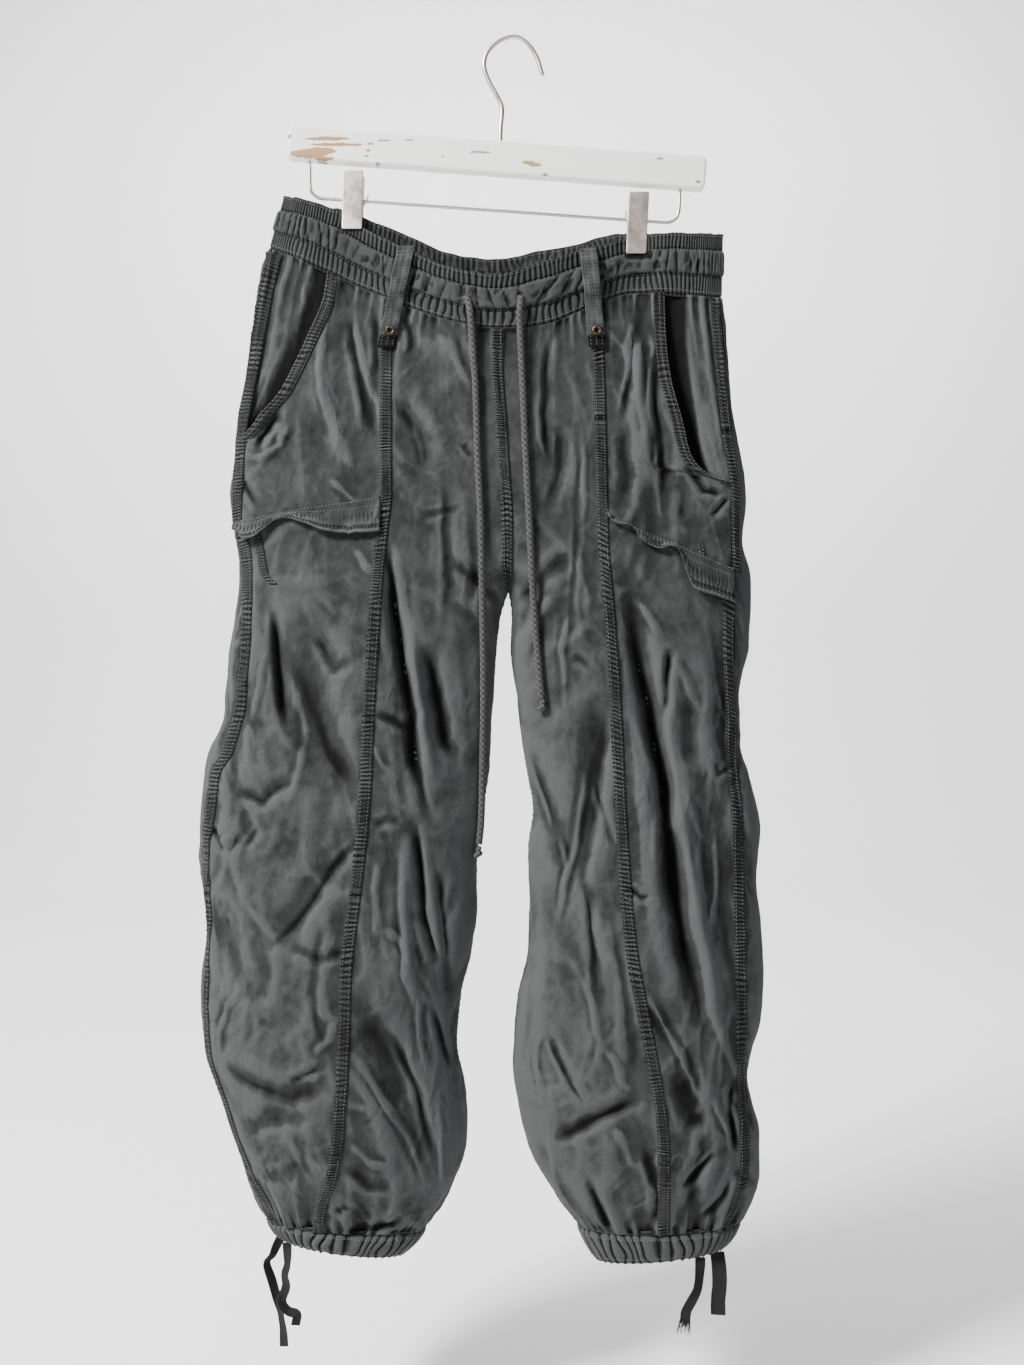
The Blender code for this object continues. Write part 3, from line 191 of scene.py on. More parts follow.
# Sharper creases over the folds; lean makes one flank of a crease steeper than the other.
RIGHT_CREASES = by_face((
    (1.6, 4, 0, (-171, 262), (-168, 325), (-151, 370), (-140, 403)),
    (-1.6, 4, 0, (-124, 262), (-123, 325), (-121, 388)),
    (-4, 9, 0.2, (-102, 325), (-84, 361), (-75, 397)),
    (2.6, 5, 0.2, (-94, 505), (-88, 550), (-84, 586), (-75, 631), (-66, 685)),
    (-10, 5.6, -0.2, (-110, 448), (-105, 490), (-100, 540), (-92, 580), (-86, 606), (-85, 650), (-79, 676),
     (-70, 712)),
    (-7, 5.2, -0.2, (-86, 698), (-82, 730), (-79, 755), (-76, 785), (-66, 830)),
    (-5, 4.5, 0.2, (-66, 740), (-62, 781), (-63, 821)),
    (4, 6, 0.2, (-98, 700), (-96, 760), (-92, 830), (-80, 870)),
    (-3.4, 8, 0.2, (-79, 541), (-68, 595), (-61, 631), (-43, 649)),
    (-3.6, 12, 0.35, (-196, 545), (-176, 600), (-158, 645), (-134, 692)),
    (-3.0, 7, 0.2, (-243, 674), (-217, 683), (-190, 660)),
    (-2.6, 4.8, 0.2, (-131, 711), (-147, 726), (-163, 749), (-190, 789), (-212, 815)),
    (-2.5, 5, 0, (-266, 707), (-250, 728)),
    (-2, 5, 0, (-237, 707), (-249, 730)),
    (-1.6, 8, 0.2, (-241, 851), (-252, 874), (-254, 905)),
    (-2.4, 9, 0.3, (-256, 905), (-222, 930), (-190, 938), (-158, 926)),
    (-2.6, 10, 0.2, (-240, 972), (-212, 958), (-168, 948)),
    (-1.8, 8, -0.2, (-222, 1012), (-196, 1004), (-176, 990)),
    (-4, 7, 0.2, (-165, 1060), (-115, 1060), (-102, 1045)),
    (-3, 5, 0, (-102, 1049), (-129, 1076)),
    (-6, 4.6, 0.2, (-211, 508), (-210, 549), (-205, 590), (-199, 628)),
    (2, 7, 0, (-66, 262), (-52, 289), (-34, 325)),
    (-2.5, 6, 0.2, (-61, 388), (-57, 469), (-59, 541)),
    (-2, 5, 0, (-39, 397), (-32, 469), (-39, 541)),
    (-2.5, 6, 0.2, (-52, 748), (-61, 820), (-55, 883)),
    (-2.2, 5, 0, (-165, 775), (-172, 847), (-160, 901)),
    (-3.5, 8, 0.1, (-62, 468), (-32, 488), (-8, 514)),
    (3, 8, 0.1, (-50, 500), (-26, 520), (-12, 560)),
    (-3.5, 6, 0.2, (-144, 248), (-143, 283), (-137, 312), (-131, 335), (-126, 376)),
    (1.5, 3.5, 0, (-140, 245), (-139, 267), (-132, 302), (-123, 331), (-117, 338)),
    (-2, 4, 0, (-125, 238), (-122, 261), (-121, 288), (-119, 315)),
    (1.5, 3.5, 0, (-197, 346), (-206, 368), (-221, 378), (-242, 376)),
    (-3, 5, 0.2, (-203, 339), (-217, 354), (-230, 372)),
    (-1.6, 4, 0.2, (-243, 384), (-235, 405), (-225, 425)),
    (1.1, 3, 0, (-163, 399), (-148, 412), (-137, 423)),
    (-3, 5, 0.2, (-95, 251), (-92, 272), (-90, 290)),
    (2, 4, 0, (-74, 251), (-57, 269), (-50, 293), (-39, 315), (-35, 338)),
    (-3, 8, 0.2, (-59, 259), (-51, 285), (-42, 304), (-34, 322)),
    (-3, 13, 0.1, (-102, 325), (-90, 368), (-84, 396), (-82, 425)),
    (1.2, 3, 0, (-89, 347), (-81, 376), (-78, 391)),
    (-1.6, 3.5, 0.2, (-84, 435), (-63, 430), (-44, 426)),
    (-2.2, 4, 0.2, (-45, 368), (-40, 375), (-34, 382)),
    (-2, 6, 0.2, (-82, 552), (-69, 595), (-54, 649)),
    (-2.2, 5, 0.2, (-119, 607), (-104, 612), (-89, 622)),
    (-1.6, 5, 0.2, (-124, 705), (-112, 700), (-97, 699)),
    (1.2, 3, 0, (-120, 630), (-116, 643), (-109, 657)),
    (1.5, 3, 0, (-216, 546), (-224, 592), (-229, 611)),
    (1.5, 3.5, 0, (-185, 592), (-181, 630), (-187, 654), (-198, 697)),
    (1.4, 4, 0, (-231, 611), (-230, 643), (-224, 665)),
    (-1.6, 3.5, 0, (-266, 705), (-256, 713), (-247, 707)),
    (-1.6, 3.5, 0, (-220, 704), (-228, 715), (-236, 722)),
    (-2.2, 7, 0.2, (-174, 533), (-155, 565), (-136, 557)),
    (1.5, 4, 0, (-139, 460), (-131, 477), (-122, 485)),
    (1.5, 3.5, 0, (-117, 727), (-119, 770), (-117, 810)),
    (1.4, 3.5, 0, (-117, 789), (-98, 802), (-83, 827)),
    (-2.2, 7, 0.2, (-195, 806), (-168, 819), (-137, 808)),
    (1.6, 3, 0, (-235, 830), (-236, 851), (-246, 860), (-255, 884), (-256, 909)),
    (1.4, 3.5, 0, (-150, 865), (-159, 885), (-167, 894), (-172, 900)),
    (1.4, 3.5, 0, (-267, 911), (-260, 927), (-249, 949)),
    (-2, 4, 0.2, (-193, 924), (-179, 915), (-162, 909)),
    (-4, 5, 0.2, (-107, 877), (-95, 909), (-86, 932), (-76, 968), (-65, 1002)),
    (2, 3.5, 0, (-141, 896), (-121, 923), (-104, 956), (-88, 978), (-80, 999), (-69, 1030)),
    (1.3, 3, 0, (-81, 841), (-80, 892), (-73, 923)),
    (1.3, 3, 0, (-92, 884), (-88, 909), (-81, 930)),
    (1.3, 3, 0, (-66, 930), (-61, 975), (-61, 1033)),
    (-5, 3.8, 0.2, (-69, 861), (-63, 892), (-58, 915), (-50, 918)),
    (-3.5, 3.5, 0.2, (-52, 860), (-54, 885), (-48, 913)),
    (-4, 5, 0.2, (-148, 1061), (-121, 1061), (-106, 1054), (-92, 1044)),
    (1.5, 5, 0, (-143, 975), (-123, 992), (-104, 997)),
    (-2.5, 8, 0.2, (-146, 996), (-124, 1013), (-100, 1016)),
    (-2.2, 4, 0, (-217, 1062), (-209, 1058), (-199, 1056)),
    (-2, 6, 0, (-156, 1033), (-150, 1036), (-140, 1031))), (
    (-4, 8, 0.2, (-75, 480), (-88, 570), (-110, 690)),
    (-3, 6, -0.2, (-160, 300), (-150, 380), (-158, 460)),
    (3, 7, 0.2, (-110, 540), (-128, 640), (-140, 730)),
    (-4, 8, 0.2, (-230, 520), (-205, 600), (-170, 660)),
    (-3, 6, 0, (-60, 700), (-100, 760), (-150, 790)),
    (-4, 8, 0.2, (-240, 840), (-180, 850), (-110, 900)),
    (-3, 6, -0.2, (-70, 880), (-120, 960), (-135, 1040)),
    (-3, 6, 0.2, (-225, 930), (-200, 980), (-190, 1045)),
    (-2.4, 6, 0.2, (-190, 262), (-184, 320), (-188, 372)),
    (1.8, 6, 0, (-172, 258), (-168, 330), (-176, 400)),
    (-3.2, 7, -0.2, (-128, 256), (-134, 312), (-129, 350), (-140, 408)),
    (2, 6, 0, (-112, 250), (-108, 300), (-112, 346)),
    (-2.8, 6, 0.2, (-86, 262), (-92, 330), (-84, 384)),
    (-2.2, 6, 0, (-58, 256), (-54, 300), (-60, 352)),
    (-3.6, 8, 0.2, (-46, 444), (-70, 470), (-104, 486)),
    (-3, 7, 0.2, (-38, 480), (-64, 502), (-96, 540)),
    (2.6, 7, 0, (-44, 462), (-72, 484), (-100, 508)),
    (-3.4, 7, 0.2, (-206, 430), (-178, 452), (-150, 448)),
    (-4.4, 7, -0.2, (-138, 470), (-134, 520), (-144, 585), (-158, 640)),
    (2.8, 6, 0, (-152, 500), (-150, 560), (-164, 622)),
    (-4, 7, 0.2, (-196, 560), (-186, 620), (-192, 676)),
    (2, 6, 0, (-62, 560), (-72, 620), (-88, 668)),
    (-4.4, 7, 0.2, (-72, 668), (-104, 690), (-146, 684), (-180, 700)),
    (2.8, 6, 0, (-80, 684), (-112, 706), (-150, 702)),
    (-4.4, 7, 0.2, (-236, 690), (-204, 716), (-160, 726)),
    (-3.4, 6, -0.2, (-92, 728), (-124, 748), (-168, 744)),
    (2.2, 6, 0, (-226, 736), (-196, 760), (-168, 772)),
    (-4, 7, 0.2, (-244, 770), (-220, 806), (-190, 822), (-170, 846)),
    (-4.6, 7, 0.2, (-84, 806), (-104, 850), (-108, 900), (-120, 940)),
    (2.6, 6, 0, (-96, 830), (-118, 870), (-124, 912)),
    (-3.6, 6, 0.2, (-196, 880), (-184, 930), (-188, 976)),
    (-3, 6, -0.2, (-150, 880), (-146, 930), (-158, 980)),
    (1.8, 6, 0, (-214, 884), (-208, 930), (-214, 972)),
    (-3.6, 6, 0.2, (-96, 980), (-114, 1010), (-124, 1048)),
    (-3, 6, 0.2, (-206, 1004), (-196, 1030), (-182, 1052)),
    (-2.6, 6, 0, (-168, 990), (-160, 1022), (-164, 1058)),
    (-3, 7, 0, (-40, 330), (-55, 400), (-90, 450))))

LEFT_CREASES = by_face((
    (-11, 10, 0.1, (99, 470), (108, 545), (119, 600), (128, 650), (134, 695), (139, 740), (148, 800),
     (160, 850), (172, 920)),
    (-5, 10, -0.3, (80, 590), (78, 631), (73, 672), (65, 727), (52, 770)),
    (3, 6, 0.2, (137, 595), (140, 649), (148, 721), (159, 793), (177, 874), (191, 919)),
    (-1.6, 3.5, 0, (58, 352), (56, 433), (51, 505), (47, 541)),
    (-2, 5, 0.2, (13, 632), (26, 672), (40, 708)),
    (-1.8, 5, 0.2, (12, 742), (17, 829), (10, 925)),
    (-2.4, 6, 0.2, (62, 728), (68, 810), (80, 876)),
    (-1.5, 5, 0, (84, 770), (94, 829), (108, 930)),
    (-4, 6, 0.2, (60, 1009), (78, 1045), (92, 1081)),
    (2, 5, 0, (110, 235), (114, 325), (122, 433)),
    (-2.5, 5, 0.2, (125, 271), (128, 352), (132, 433)),
    (-4, 7, 0.2, (186, 919), (200, 941), (218, 982)),
    (-3, 8, 0.2, (188, 1000), (209, 1016), (224, 1027)),
    (-4, 13, 0.2, (176, 515), (182, 580), (189, 650), (193, 705)),
    (-3, 7, 0.2, (200, 595), (194, 667), (202, 739)),
    (-3, 7, 0.2, (168, 955), (159, 1000), (150, 1045)),
    (-3, 6, 0.2, (114, 973), (123, 1018), (128, 1058)),
    (-6, 4.2, 0.2, (137, 545), (134, 575), (131, 614)),
    (-3.5, 8, 0.1, (54, 462), (26, 486), (3, 512)),
    (3, 8, 0.1, (40, 500), (20, 520), (6, 560)),
    (-4.5, 5.5, 0.2, (35, 262), (32, 288), (28, 325), (26, 339), (28, 367), (32, 396)),
    (2, 5, 0, (40, 259), (36, 288), (33, 322)),
    (-3, 6, 0.2, (36, 347), (42, 363), (40, 388), (32, 436)),
    (1.3, 3, 0, (22, 330), (23, 363), (31, 391)),
    (1.2, 3, 0, (63, 367), (61, 396), (62, 425), (58, 444)),
    (1.8, 4, 0, (121, 254), (126, 280), (124, 309), (122, 338), (122, 367)),
    (1.6, 3.5, 0, (128, 355), (126, 380), (126, 412), (130, 449)),
    (-3.5, 5, 0.2, (113, 245), (111, 267), (106, 299), (99, 335), (94, 357)),
    (-2.5, 8, 0.2, (101, 346), (97, 367), (101, 396), (95, 431)),
    (-2, 6, 0, (132, 338), (137, 367), (138, 396), (137, 436)),
    (-2.5, 8, 0, (147, 389), (150, 412), (148, 447)),
    (-3, 4.5, 0.2, (150, 386), (169, 409), (191, 413)),
    (-2, 3.5, 0, (175, 433), (186, 421), (194, 413)),
    (-1.4, 3.5, 0.2, (50, 557), (59, 560), (69, 566)),
    (1.3, 3, 0, (50, 507), (43, 551), (46, 606)),
    (1.6, 3.5, 0, (12, 637), (23, 673), (34, 703), (43, 711)),
    (1.5, 3, 0, (29, 718), (41, 715), (48, 741), (39, 780)),
    (1.8, 3.5, 0, (65, 639), (55, 719), (44, 766), (34, 799)),
    (-2, 3.5, 0.2, (72, 664), (77, 689), (87, 724)),
    (-3, 3.5, 0.2, (64, 761), (67, 794), (73, 829)),
    (-2, 4, 0.2, (98, 755), (112, 765), (121, 761)),
    (3, 4, 0, (105, 606), (115, 634), (123, 675), (125, 752)),
    (3, 4, 0, (134, 573), (134, 606), (138, 645), (145, 700), (153, 750), (160, 780)),
    (1.5, 3.5, 0, (150, 662), (163, 714), (158, 752)),
    (-2, 4, 0.2, (175, 645), (179, 659), (196, 653)),
    (1.4, 3, 0, (178, 695), (176, 764), (172, 799)),
    (1.8, 4, 0, (105, 503), (120, 526), (132, 544)),
    (1.6, 4, 0, (139, 551), (150, 573), (160, 609)),
    (-2.5, 3.5, 0.2, (32, 882), (39, 903), (50, 926), (64, 947)),
    (1.3, 3, 0, (30, 879), (22, 893), (20, 915), (26, 948)),
    (1.3, 3, 0, (59, 831), (70, 857), (75, 888), (72, 915)),
    (1.3, 3, 0, (77, 893), (88, 906), (94, 923), (104, 930)),
    (-3, 7, 0.2, (30, 975), (50, 969), (72, 955), (96, 940), (111, 934)),
    (1.3, 4, 0, (85, 958), (96, 978), (103, 994), (111, 1000)),
    (-4, 6, 0.2, (28, 1000), (46, 1031), (61, 1057), (77, 1084), (92, 1097)),
    (-3.5, 5, 0.2, (61, 1002), (75, 1035), (92, 1072), (104, 1092)),
    (3, 4, 0, (114, 842), (129, 873), (145, 901), (155, 928), (167, 948)),
    (-6, 13, 0.1, (140, 912), (151, 941), (162, 972)),
    (2.5, 4, 0, (171, 937), (184, 959), (192, 976)),
    (-5, 4, 0.2, (187, 923), (189, 948), (192, 972), (193, 990)),
    (1.8, 4, 0, (176, 862), (186, 897), (195, 923), (210, 939)),
    (-3, 4, 0.2, (191, 941), (204, 965), (216, 977)),
    (-3.5, 4, 0.2, (174, 985), (159, 1000), (145, 1015)),
    (-3.5, 5, 0.2, (189, 1005), (182, 1024), (167, 1048)),
    (-3, 3.8, 0.2, (140, 1049), (138, 1068), (142, 1083)),
    (-3, 4, 0.2, (166, 1062), (158, 1084), (153, 1094))), (
    (-4, 8, 0.2, (50, 490), (66, 590), (88, 710)),
    (-3, 6, -0.2, (120, 290), (112, 370), (118, 450)),
    (3, 7, 0.2, (85, 540), (100, 640), (118, 730)),
    (-4, 8, 0.2, (190, 540), (170, 620), (140, 680)),
    (-3, 6, 0, (40, 700), (80, 770), (120, 800)),
    (-4, 8, 0.2, (200, 850), (150, 860), (90, 910)),
    (-3, 6, -0.2, (45, 880), (85, 960), (100, 1040)),
    (-3, 6, 0.2, (190, 930), (170, 980), (160, 1045)),
    (-2.4, 6, 0.2, (166, 262), (158, 316), (164, 380)),
    (1.8, 6, 0, (150, 256), (146, 318), (152, 392)),
    (-3.2, 7, -0.2, (98, 258), (104, 306), (97, 356), (106, 414)),
    (2, 6, 0, (82, 250), (78, 296), (84, 352)),
    (-2.8, 6, 0.2, (60, 262), (64, 322), (56, 392)),
    (-2.2, 6, 0, (30, 258), (28, 306), (34, 342)),
    (-3.6, 8, 0.2, (30, 448), (54, 468), (86, 480)),
    (-3, 7, 0.2, (22, 486), (48, 510), (78, 552)),
    (2.6, 7, 0, (26, 466), (56, 488), (84, 514)),
    (-3.4, 7, 0.2, (176, 436), (150, 458), (120, 452)),
    (-2, 8, 0, (92, 530), (86, 566), (94, 624)),
    (1.2, 8, 0, (116, 540), (112, 576), (122, 618)),
    (-4, 7, 0.2, (166, 566), (158, 616), (164, 668)),
    (2, 6, 0, (44, 552), (52, 612), (66, 664)),
    (-4.4, 7, 0.2, (40, 672), (70, 696), (104, 690), (136, 704)),
    (2.8, 6, 0, (48, 690), (78, 712), (112, 706)),
    (-3.6, 7, 0.2, (190, 702), (168, 724), (136, 734)),
    (-3.4, 6, -0.2, (56, 734), (88, 752), (124, 750)),
    (2.2, 6, 0, (188, 744), (168, 768), (142, 780)),
    (-3.6, 7, 0.2, (204, 780), (186, 812), (160, 828), (146, 850)),
    (-4.6, 7, 0.2, (56, 812), (74, 852), (80, 898), (88, 944)),
    (2.6, 6, 0, (70, 836), (88, 876), (96, 918)),
    (-3.6, 6, 0.2, (172, 884), (160, 936), (166, 980)),
    (-3, 6, -0.2, (122, 886), (118, 934), (128, 984)),
    (1.8, 6, 0, (190, 890), (184, 934), (190, 978)),
    (-3.6, 6, 0.2, (72, 984), (90, 1014), (102, 1052)),
    (-3, 6, 0.2, (180, 1010), (170, 1036), (156, 1058)),
    (-2.6, 6, 0, (138, 994), (130, 1026), (134, 1064)),
    (-3, 7, 0, (20, 330), (40, 400), (75, 450))))

RIGHT_LEG = Leg("right", -1, RIGHT_SECTIONS, RIGHT_INSEAM, RIGHT_SIDE_SEAM, RIGHT_FELLED_SEAM,
                RIGHT_POCKET, RIGHT_FOLDS, RIGHT_CREASES)
LEFT_LEG = Leg("left", 1, LEFT_SECTIONS, LEFT_INSEAM, LEFT_SIDE_SEAM, LEFT_FELLED_SEAM,
               LEFT_POCKET, LEFT_FOLDS, LEFT_CREASES)

# Gathers run away from a gathered seam: how many there are round the leg, their height, and how many
# rows they take to die out.
Gather = namedtuple("Gather", "seam_row away count height fade seed")
GATHERS = as_table(Gather, (
    (WAIST_ROW, 1, 66, 1.2, 0.32, 3), (WAIST_ROW, 1, 31, 2.2, 0.8, 4), (WAIST_ROW, 1, 15, 1.9, 2.2, 8),
    (CASING_ROW, -1, 50, 1.5, 0.34, 5), (CASING_ROW, -1, 23, 2.6, 0.9, 6),
    (CASING_ROW, -1, 10, 3.6, 2.4, 7)))
SEAM_FADE = 0.07            # rows next to a gathered seam in which the gathers lie flat

PUCKER_PITCH = 4.4          # along the seams
PUCKER_HEIGHT = 0.75
PUCKER_REACH = 5.5
BAND_HALF = 5.2             # half the width of a strip over a seam
PLEAT_HALF = 3.6
BAND_RISE = 1.0
LADDER_PITCH = 3.5          # the puckers across a stitched strip
UPPER_BAND_SHIFT = {"right": 0.3, "left": -0.75}
# The strips that are cut with each panel.
BODY_PITCH = 1.9            # millimetres between two rows of points of a piece
BACK_PITCH = 3.1
SIDE_PITCH = 1.7
STRIP_PITCH = 0.8
WAIST_LAP = 0.05            # rows by which the waistband runs on behind the panels' upper edges
STITCH_PITCH = 3.2
STITCH_LENGTH = 2.1
STITCH_RADIUS = 0.28

FACING_UNDERLAP = 7
FACING_SINK_LEAST = 3.3
FACING_RAMP = {"right": (0.0, 0.05, 0.1, 0.2, 0.6, 1.0), "left": (0.0, 0.0, 0.05, 0.2, 0.85, 1.0, 1.0)}
FACING_FALL = {"right": 0.7, "left": 0.1}
FACING_MARGIN = {"right": 0.025, "left": 0.004}
FACING_END_ROW = {"right": 4.5, "left": 5.1}
Sink = namedtuple("Sink", "row sink")
FACING_DEPTHS = {
    "right": as_table(Sink, ((1, 7.0), (1.8, 4.5), (2.6, 4.5), (3.4, 9.0), (5.2, 10.0))),
    "left": as_table(Sink, ((1, 8.0), (2.0, 10.0), (3.5, 12.0), (5.2, 12.0)))}

Pleat = namedtuple("Pleat", "row turn")
PLEAT_SEAMS = {
    "right": as_table(Pleat, ((7.1, -0.272), (8.0, -0.268), (8.85, -0.262))),
    "left": as_table(Pleat, ((6.6, -0.42), (7.1, -0.42), (7.6, -0.41)))}

RIB_COUNT = 96              # shirred ribs on each half of the waistband
TOP_RIBS = 0.4              # how many more of them there are above the channel
CASING_COUNT = 46           # gathers round each hem
CASING_LAP = 0.09           # rows by which the casing runs up behind the panels' lower ends

LoopStrip = namedtuple("LoopStrip", "name top_x top_down foot_x foot_down")
BELT_LOOPS = (LoopStrip("right", -95, 190, -113, 281), LoopStrip("left", 67, 192, 75, 280))
LOOP_WIDTH = 15
LOOP_THICKNESS = 1.8
RIVET_RADIUS = 4.6
RIVET_HEIGHT = 1.6

FlapEdge = namedtuple("FlapEdge", "x down stand")
FLAP_LAP = 0.12             # rows by which a flap starts above its seam
FLAPS = {
    "right": as_table(FlapEdge, (
        (-252, 441, 3.0), (-243, 445, 4.2), (-237, 452, 5.5), (-229, 451, 5.5), (-220, 444, 4.2),
        (-210, 436, 3.2), (-201, 434, 3.4), (-183, 439, 4.6), (-165, 446, 5.8), (-151, 448, 4.8),
        (-129, 448, 4.2), (-118, 447, 3.6), (-112, 446, 3.0))),
    "left": as_table(FlapEdge, (
        (82, 425, 2.6), (86, 438, 3.6), (94, 441, 5.0), (102, 441, 5.4), (111, 453, 5.0), (120, 459, 4.2),
        (129, 462, 4.8), (136, 460, 5.4), (141, 460, 5.0), (147, 468, 4.2), (152, 484, 3.8), (158, 497, 4.4),
        (173, 502, 4.8), (196, 509, 3.4)))}

String = namedtuple("String", "name path")
FAR_FRONT = -400.0          # where the search for the foremost cloth starts
STRING_RADIUS = 3.1
STRING_SINK = 4.0           # how far a string's start lies inside its hole in the waistband
STRINGS = (
    String("right", ((-41, 237), (-38, 250), (-36, 276), (-33, 320), (-31, 380), (-28, 440),
                     (-27, 500), (-26, 580), (-27, 660), (-28, 700), (-30, 722))),
    String("left", ((7, 237), (6, 255), (7, 280), (9, 325), (11, 375), (14, 430), (17, 490),
                    (20, 535), (23, 570), (25, 592))))
KNOT_RADIUS = 5.6

# A tie leaves the hem's edge at a turn of its leg; its path is (x, y, down) from there, and the tape
# turns about its own line by the twist, in degrees, from one end to the other.
Tie = namedtuple("Tie", "name leg turn width twist path")
TIE_THICKNESS = 1.2
ANKLE_TIES = (
    Tie("right_outer", RIGHT_LEG, -0.064, 8, (10, 55, 20, -40, -15), (
        (0, 0, 0.5), (-4, -3, 8), (-7, -5, 15), (-12, -5, 22), (-8, -2, 38), (-4, 1, 56), (-1, 0, 67),
        (2, -1, 84), (3, -3, 97))),
    Tie("right_inner", RIGHT_LEG, -0.173, 8, (0, -45, -15, 35, 10), (
        (0, 0, 0.5), (1, -5, 17), (-1, -7, 26), (0, -6, 37), (-4, -4, 51), (1, -2, 60), (9, -3, 63),
        (8, -4, 72))),
    Tie("left_inner", LEFT_LEG, -0.307, 9, (0, 30, 10, 0), (
        (0, 0, 0.5), (-1, -4, 10), (-3, -6, 25), (-8, -6, 36), (-13, -5, 46), (-14, -4, 55))),
    Tie("left_outer", LEFT_LEG, -0.18, 13, (20, 0, -8), (
        (0, 0, 0.5), (1, -5, 15), (1, -6, 27), (0, -5, 41), (0, -5, 54))))
FRAY_STRANDS = 26
FRAY_RINGS = 12
FRAY_SIDES = 5

HOOK_RADIUS = 2.0
RAIL_RADIUS = 1.5
HOOK_PATH = ((-11.7, 98), (-11.0, 80), (-9.9, 62), (-15, 50), (-22, 37), (-26, 24), (-23.4, 12.6),
             (-15, 3.6), (-7, -0.6), (0, -2), (6, -1), (14.4, 5.4), (21.6, 17), (26.6, 33.3))
RAIL_PATH = ((-183, 107), (-182.5, 130), (-181, 138), (-174, 143.2), (-164, 144.2), (-100, 148.6),
             (0, 155.6), (80, 161.3), (130, 164.8), (140, 165), (147, 161), (149.5, 152),
             (150.3, 132))
RAIL_STRAIGHT = RAIL_PATH[4], RAIL_PATH[8]
Chip = namedtuple("Chip", "x down half_width half_height")
CHIPS = as_table(Chip, (
    (-166, 92.3, 21, 1.9), (-158, 97.6, 24, 1.7), (-172, 103.4, 15, 3.2), (-182, 105.6, 18, 4.2),
    (-168, 110.0, 9, 1.6), (-201, 90.6, 2.6, 1.8), (-115, 93.9, 6.5, 1.0), (-127, 96.7, 3.2, 1.0),
    (-130, 102.6, 2.2, 1.1), (-131, 107.6, 3.2, 0.9), (-121, 114.2, 2.4, 1.1), (-93, 93.3, 3.2, 0.9),
    (-29, 104.4, 11, 1.2), (-63, 108.5, 1.8, 1.0), (14, 113.6, 6, 1.8), (20, 115.6, 6, 1.6),
    (29, 124.4, 3.2, 1.1), (132, 110.0, 3.4, 1.0), (166, 131.0, 3.0, 1.2)))

Clip = namedtuple("Clip", "name x top bottom lean coil_side tint")
CLIPS = (Clip("right", -143.0, 121.0, 172.0, -1.6, 1, (0.86, 0.83, 0.76, 1)),
         Clip("left", 113.0, 140.0, 194.0, -2.6, -1, (0.74, 0.66, 0.6, 1)))
CLIP_WIDTH = 18.0
CLIP_PLATE = 1.3
CLIP_EASE = 0.35            # how much thinner a plate is along its edges
CLIP_BOW = 0.12
CLIP_CORNER = 0.9
CLIP_TOP_HALF = 6.6
CLIP_GRIP = 0.4
SPRING_RADIUS = 2.8
SPRING_WIRE = 0.72
SPRING_TURNS = 5.5
SPRING_LENGTH = 15.0
SPRING_OFFSET = 4.0


# ---------------------------------------------------------------- numbers

def smoothstep(value):
    value = np.clip(value, 0.0, 1.0)
    return value * value * (3.0 - 2.0 * value)


def smooth(table, column, at):
    """Read one column of a table at a place in its first column, on a curve with no overshoot."""
    knots = np.array([row[0] for row in table], float)
    values = np.array([getattr(row, column) for row in table], float)
    return cubic(knots, values, at)


def cubic(knots, values, at):
    span = np.diff(knots)
    slope = np.diff(values) / span
    both = slope[:-1] * slope[1:]
    total = np.where(both > 0, slope[:-1] + slope[1:], 1.0)
    tangent = np.concatenate(([slope[0]], np.where(both > 0, 2.0 * both / total, 0.0), [slope[-1]]))
    at = np.clip(at, knots[0], knots[-1])
    cell = np.clip(np.searchsorted(knots, at, side="right") - 1, 0, len(span) - 1)
    t = (at - knots[cell]) / span[cell]
    rise = (3.0 - 2.0 * t) * t * t
    lead = t * (1.0 - t) * (1.0 - t) * span[cell]
    trail = t * t * (t - 1.0) * span[cell]
    return (values[cell] * (1.0 - rise) + values[cell + 1] * rise
            + tangent[cell] * lead + tangent[cell + 1] * trail)


def unit(vectors):
    return vectors / np.maximum(np.linalg.norm(vectors, axis=-1, keepdims=True), 1e-9)


def bell(value, centre, width):
    return np.exp(-((value - centre) / width) ** 2)


def steps(points):
    """The lengths between the points of a line."""
    return np.linalg.norm(np.diff(points, axis=0), axis=1)


def walked(points):
    """How far each point of a line lies from its start."""
    return np.concatenate([[0], np.cumsum(steps(points))])


LATTICES = {}


def noise(u, v, seed):
    """Smooth noise from -1 to 1 on a lattice of seeded random numbers, one cell a unit."""
    if seed not in LATTICES:
        LATTICES[seed] = np.random.default_rng(seed).uniform(-1.0, 1.0, (61, 67))
    cells = LATTICES[seed]
    u, v = np.broadcast_arrays(np.asarray(u, float), np.asarray(v, float))
    left = np.floor(u).astype(int)
    low = np.floor(v).astype(int)
    a = smoothstep(u - left)
    b = smoothstep(v - low)
    near = cells[left % 61, low % 67] * (1 - a) + cells[(left + 1) % 61, low % 67] * a
    far = cells[left % 61, (low + 1) % 67] * (1 - a) + cells[(left + 1) % 61, (low + 1) % 67] * a
    return near * (1 - b) + far * b


# ---------------------------------------------------------------- the cloth's form

def inner_edge(leg, down):
    return np.where(down <= CROTCH_DOWN, smooth(CENTRE_SEAM, "x", down), smooth(leg.inseam, "x", down))


def rows_of(leg, row):
    knots = np.arange(len(leg.sections), dtype=float)
    columns = [cubic(knots, np.array(column, float), row) for column in zip(*leg.sections)]
    outer_x, outer_down, inner_down = columns
    return outer_x, outer_down, inner_edge(leg, inner_down), inner_down


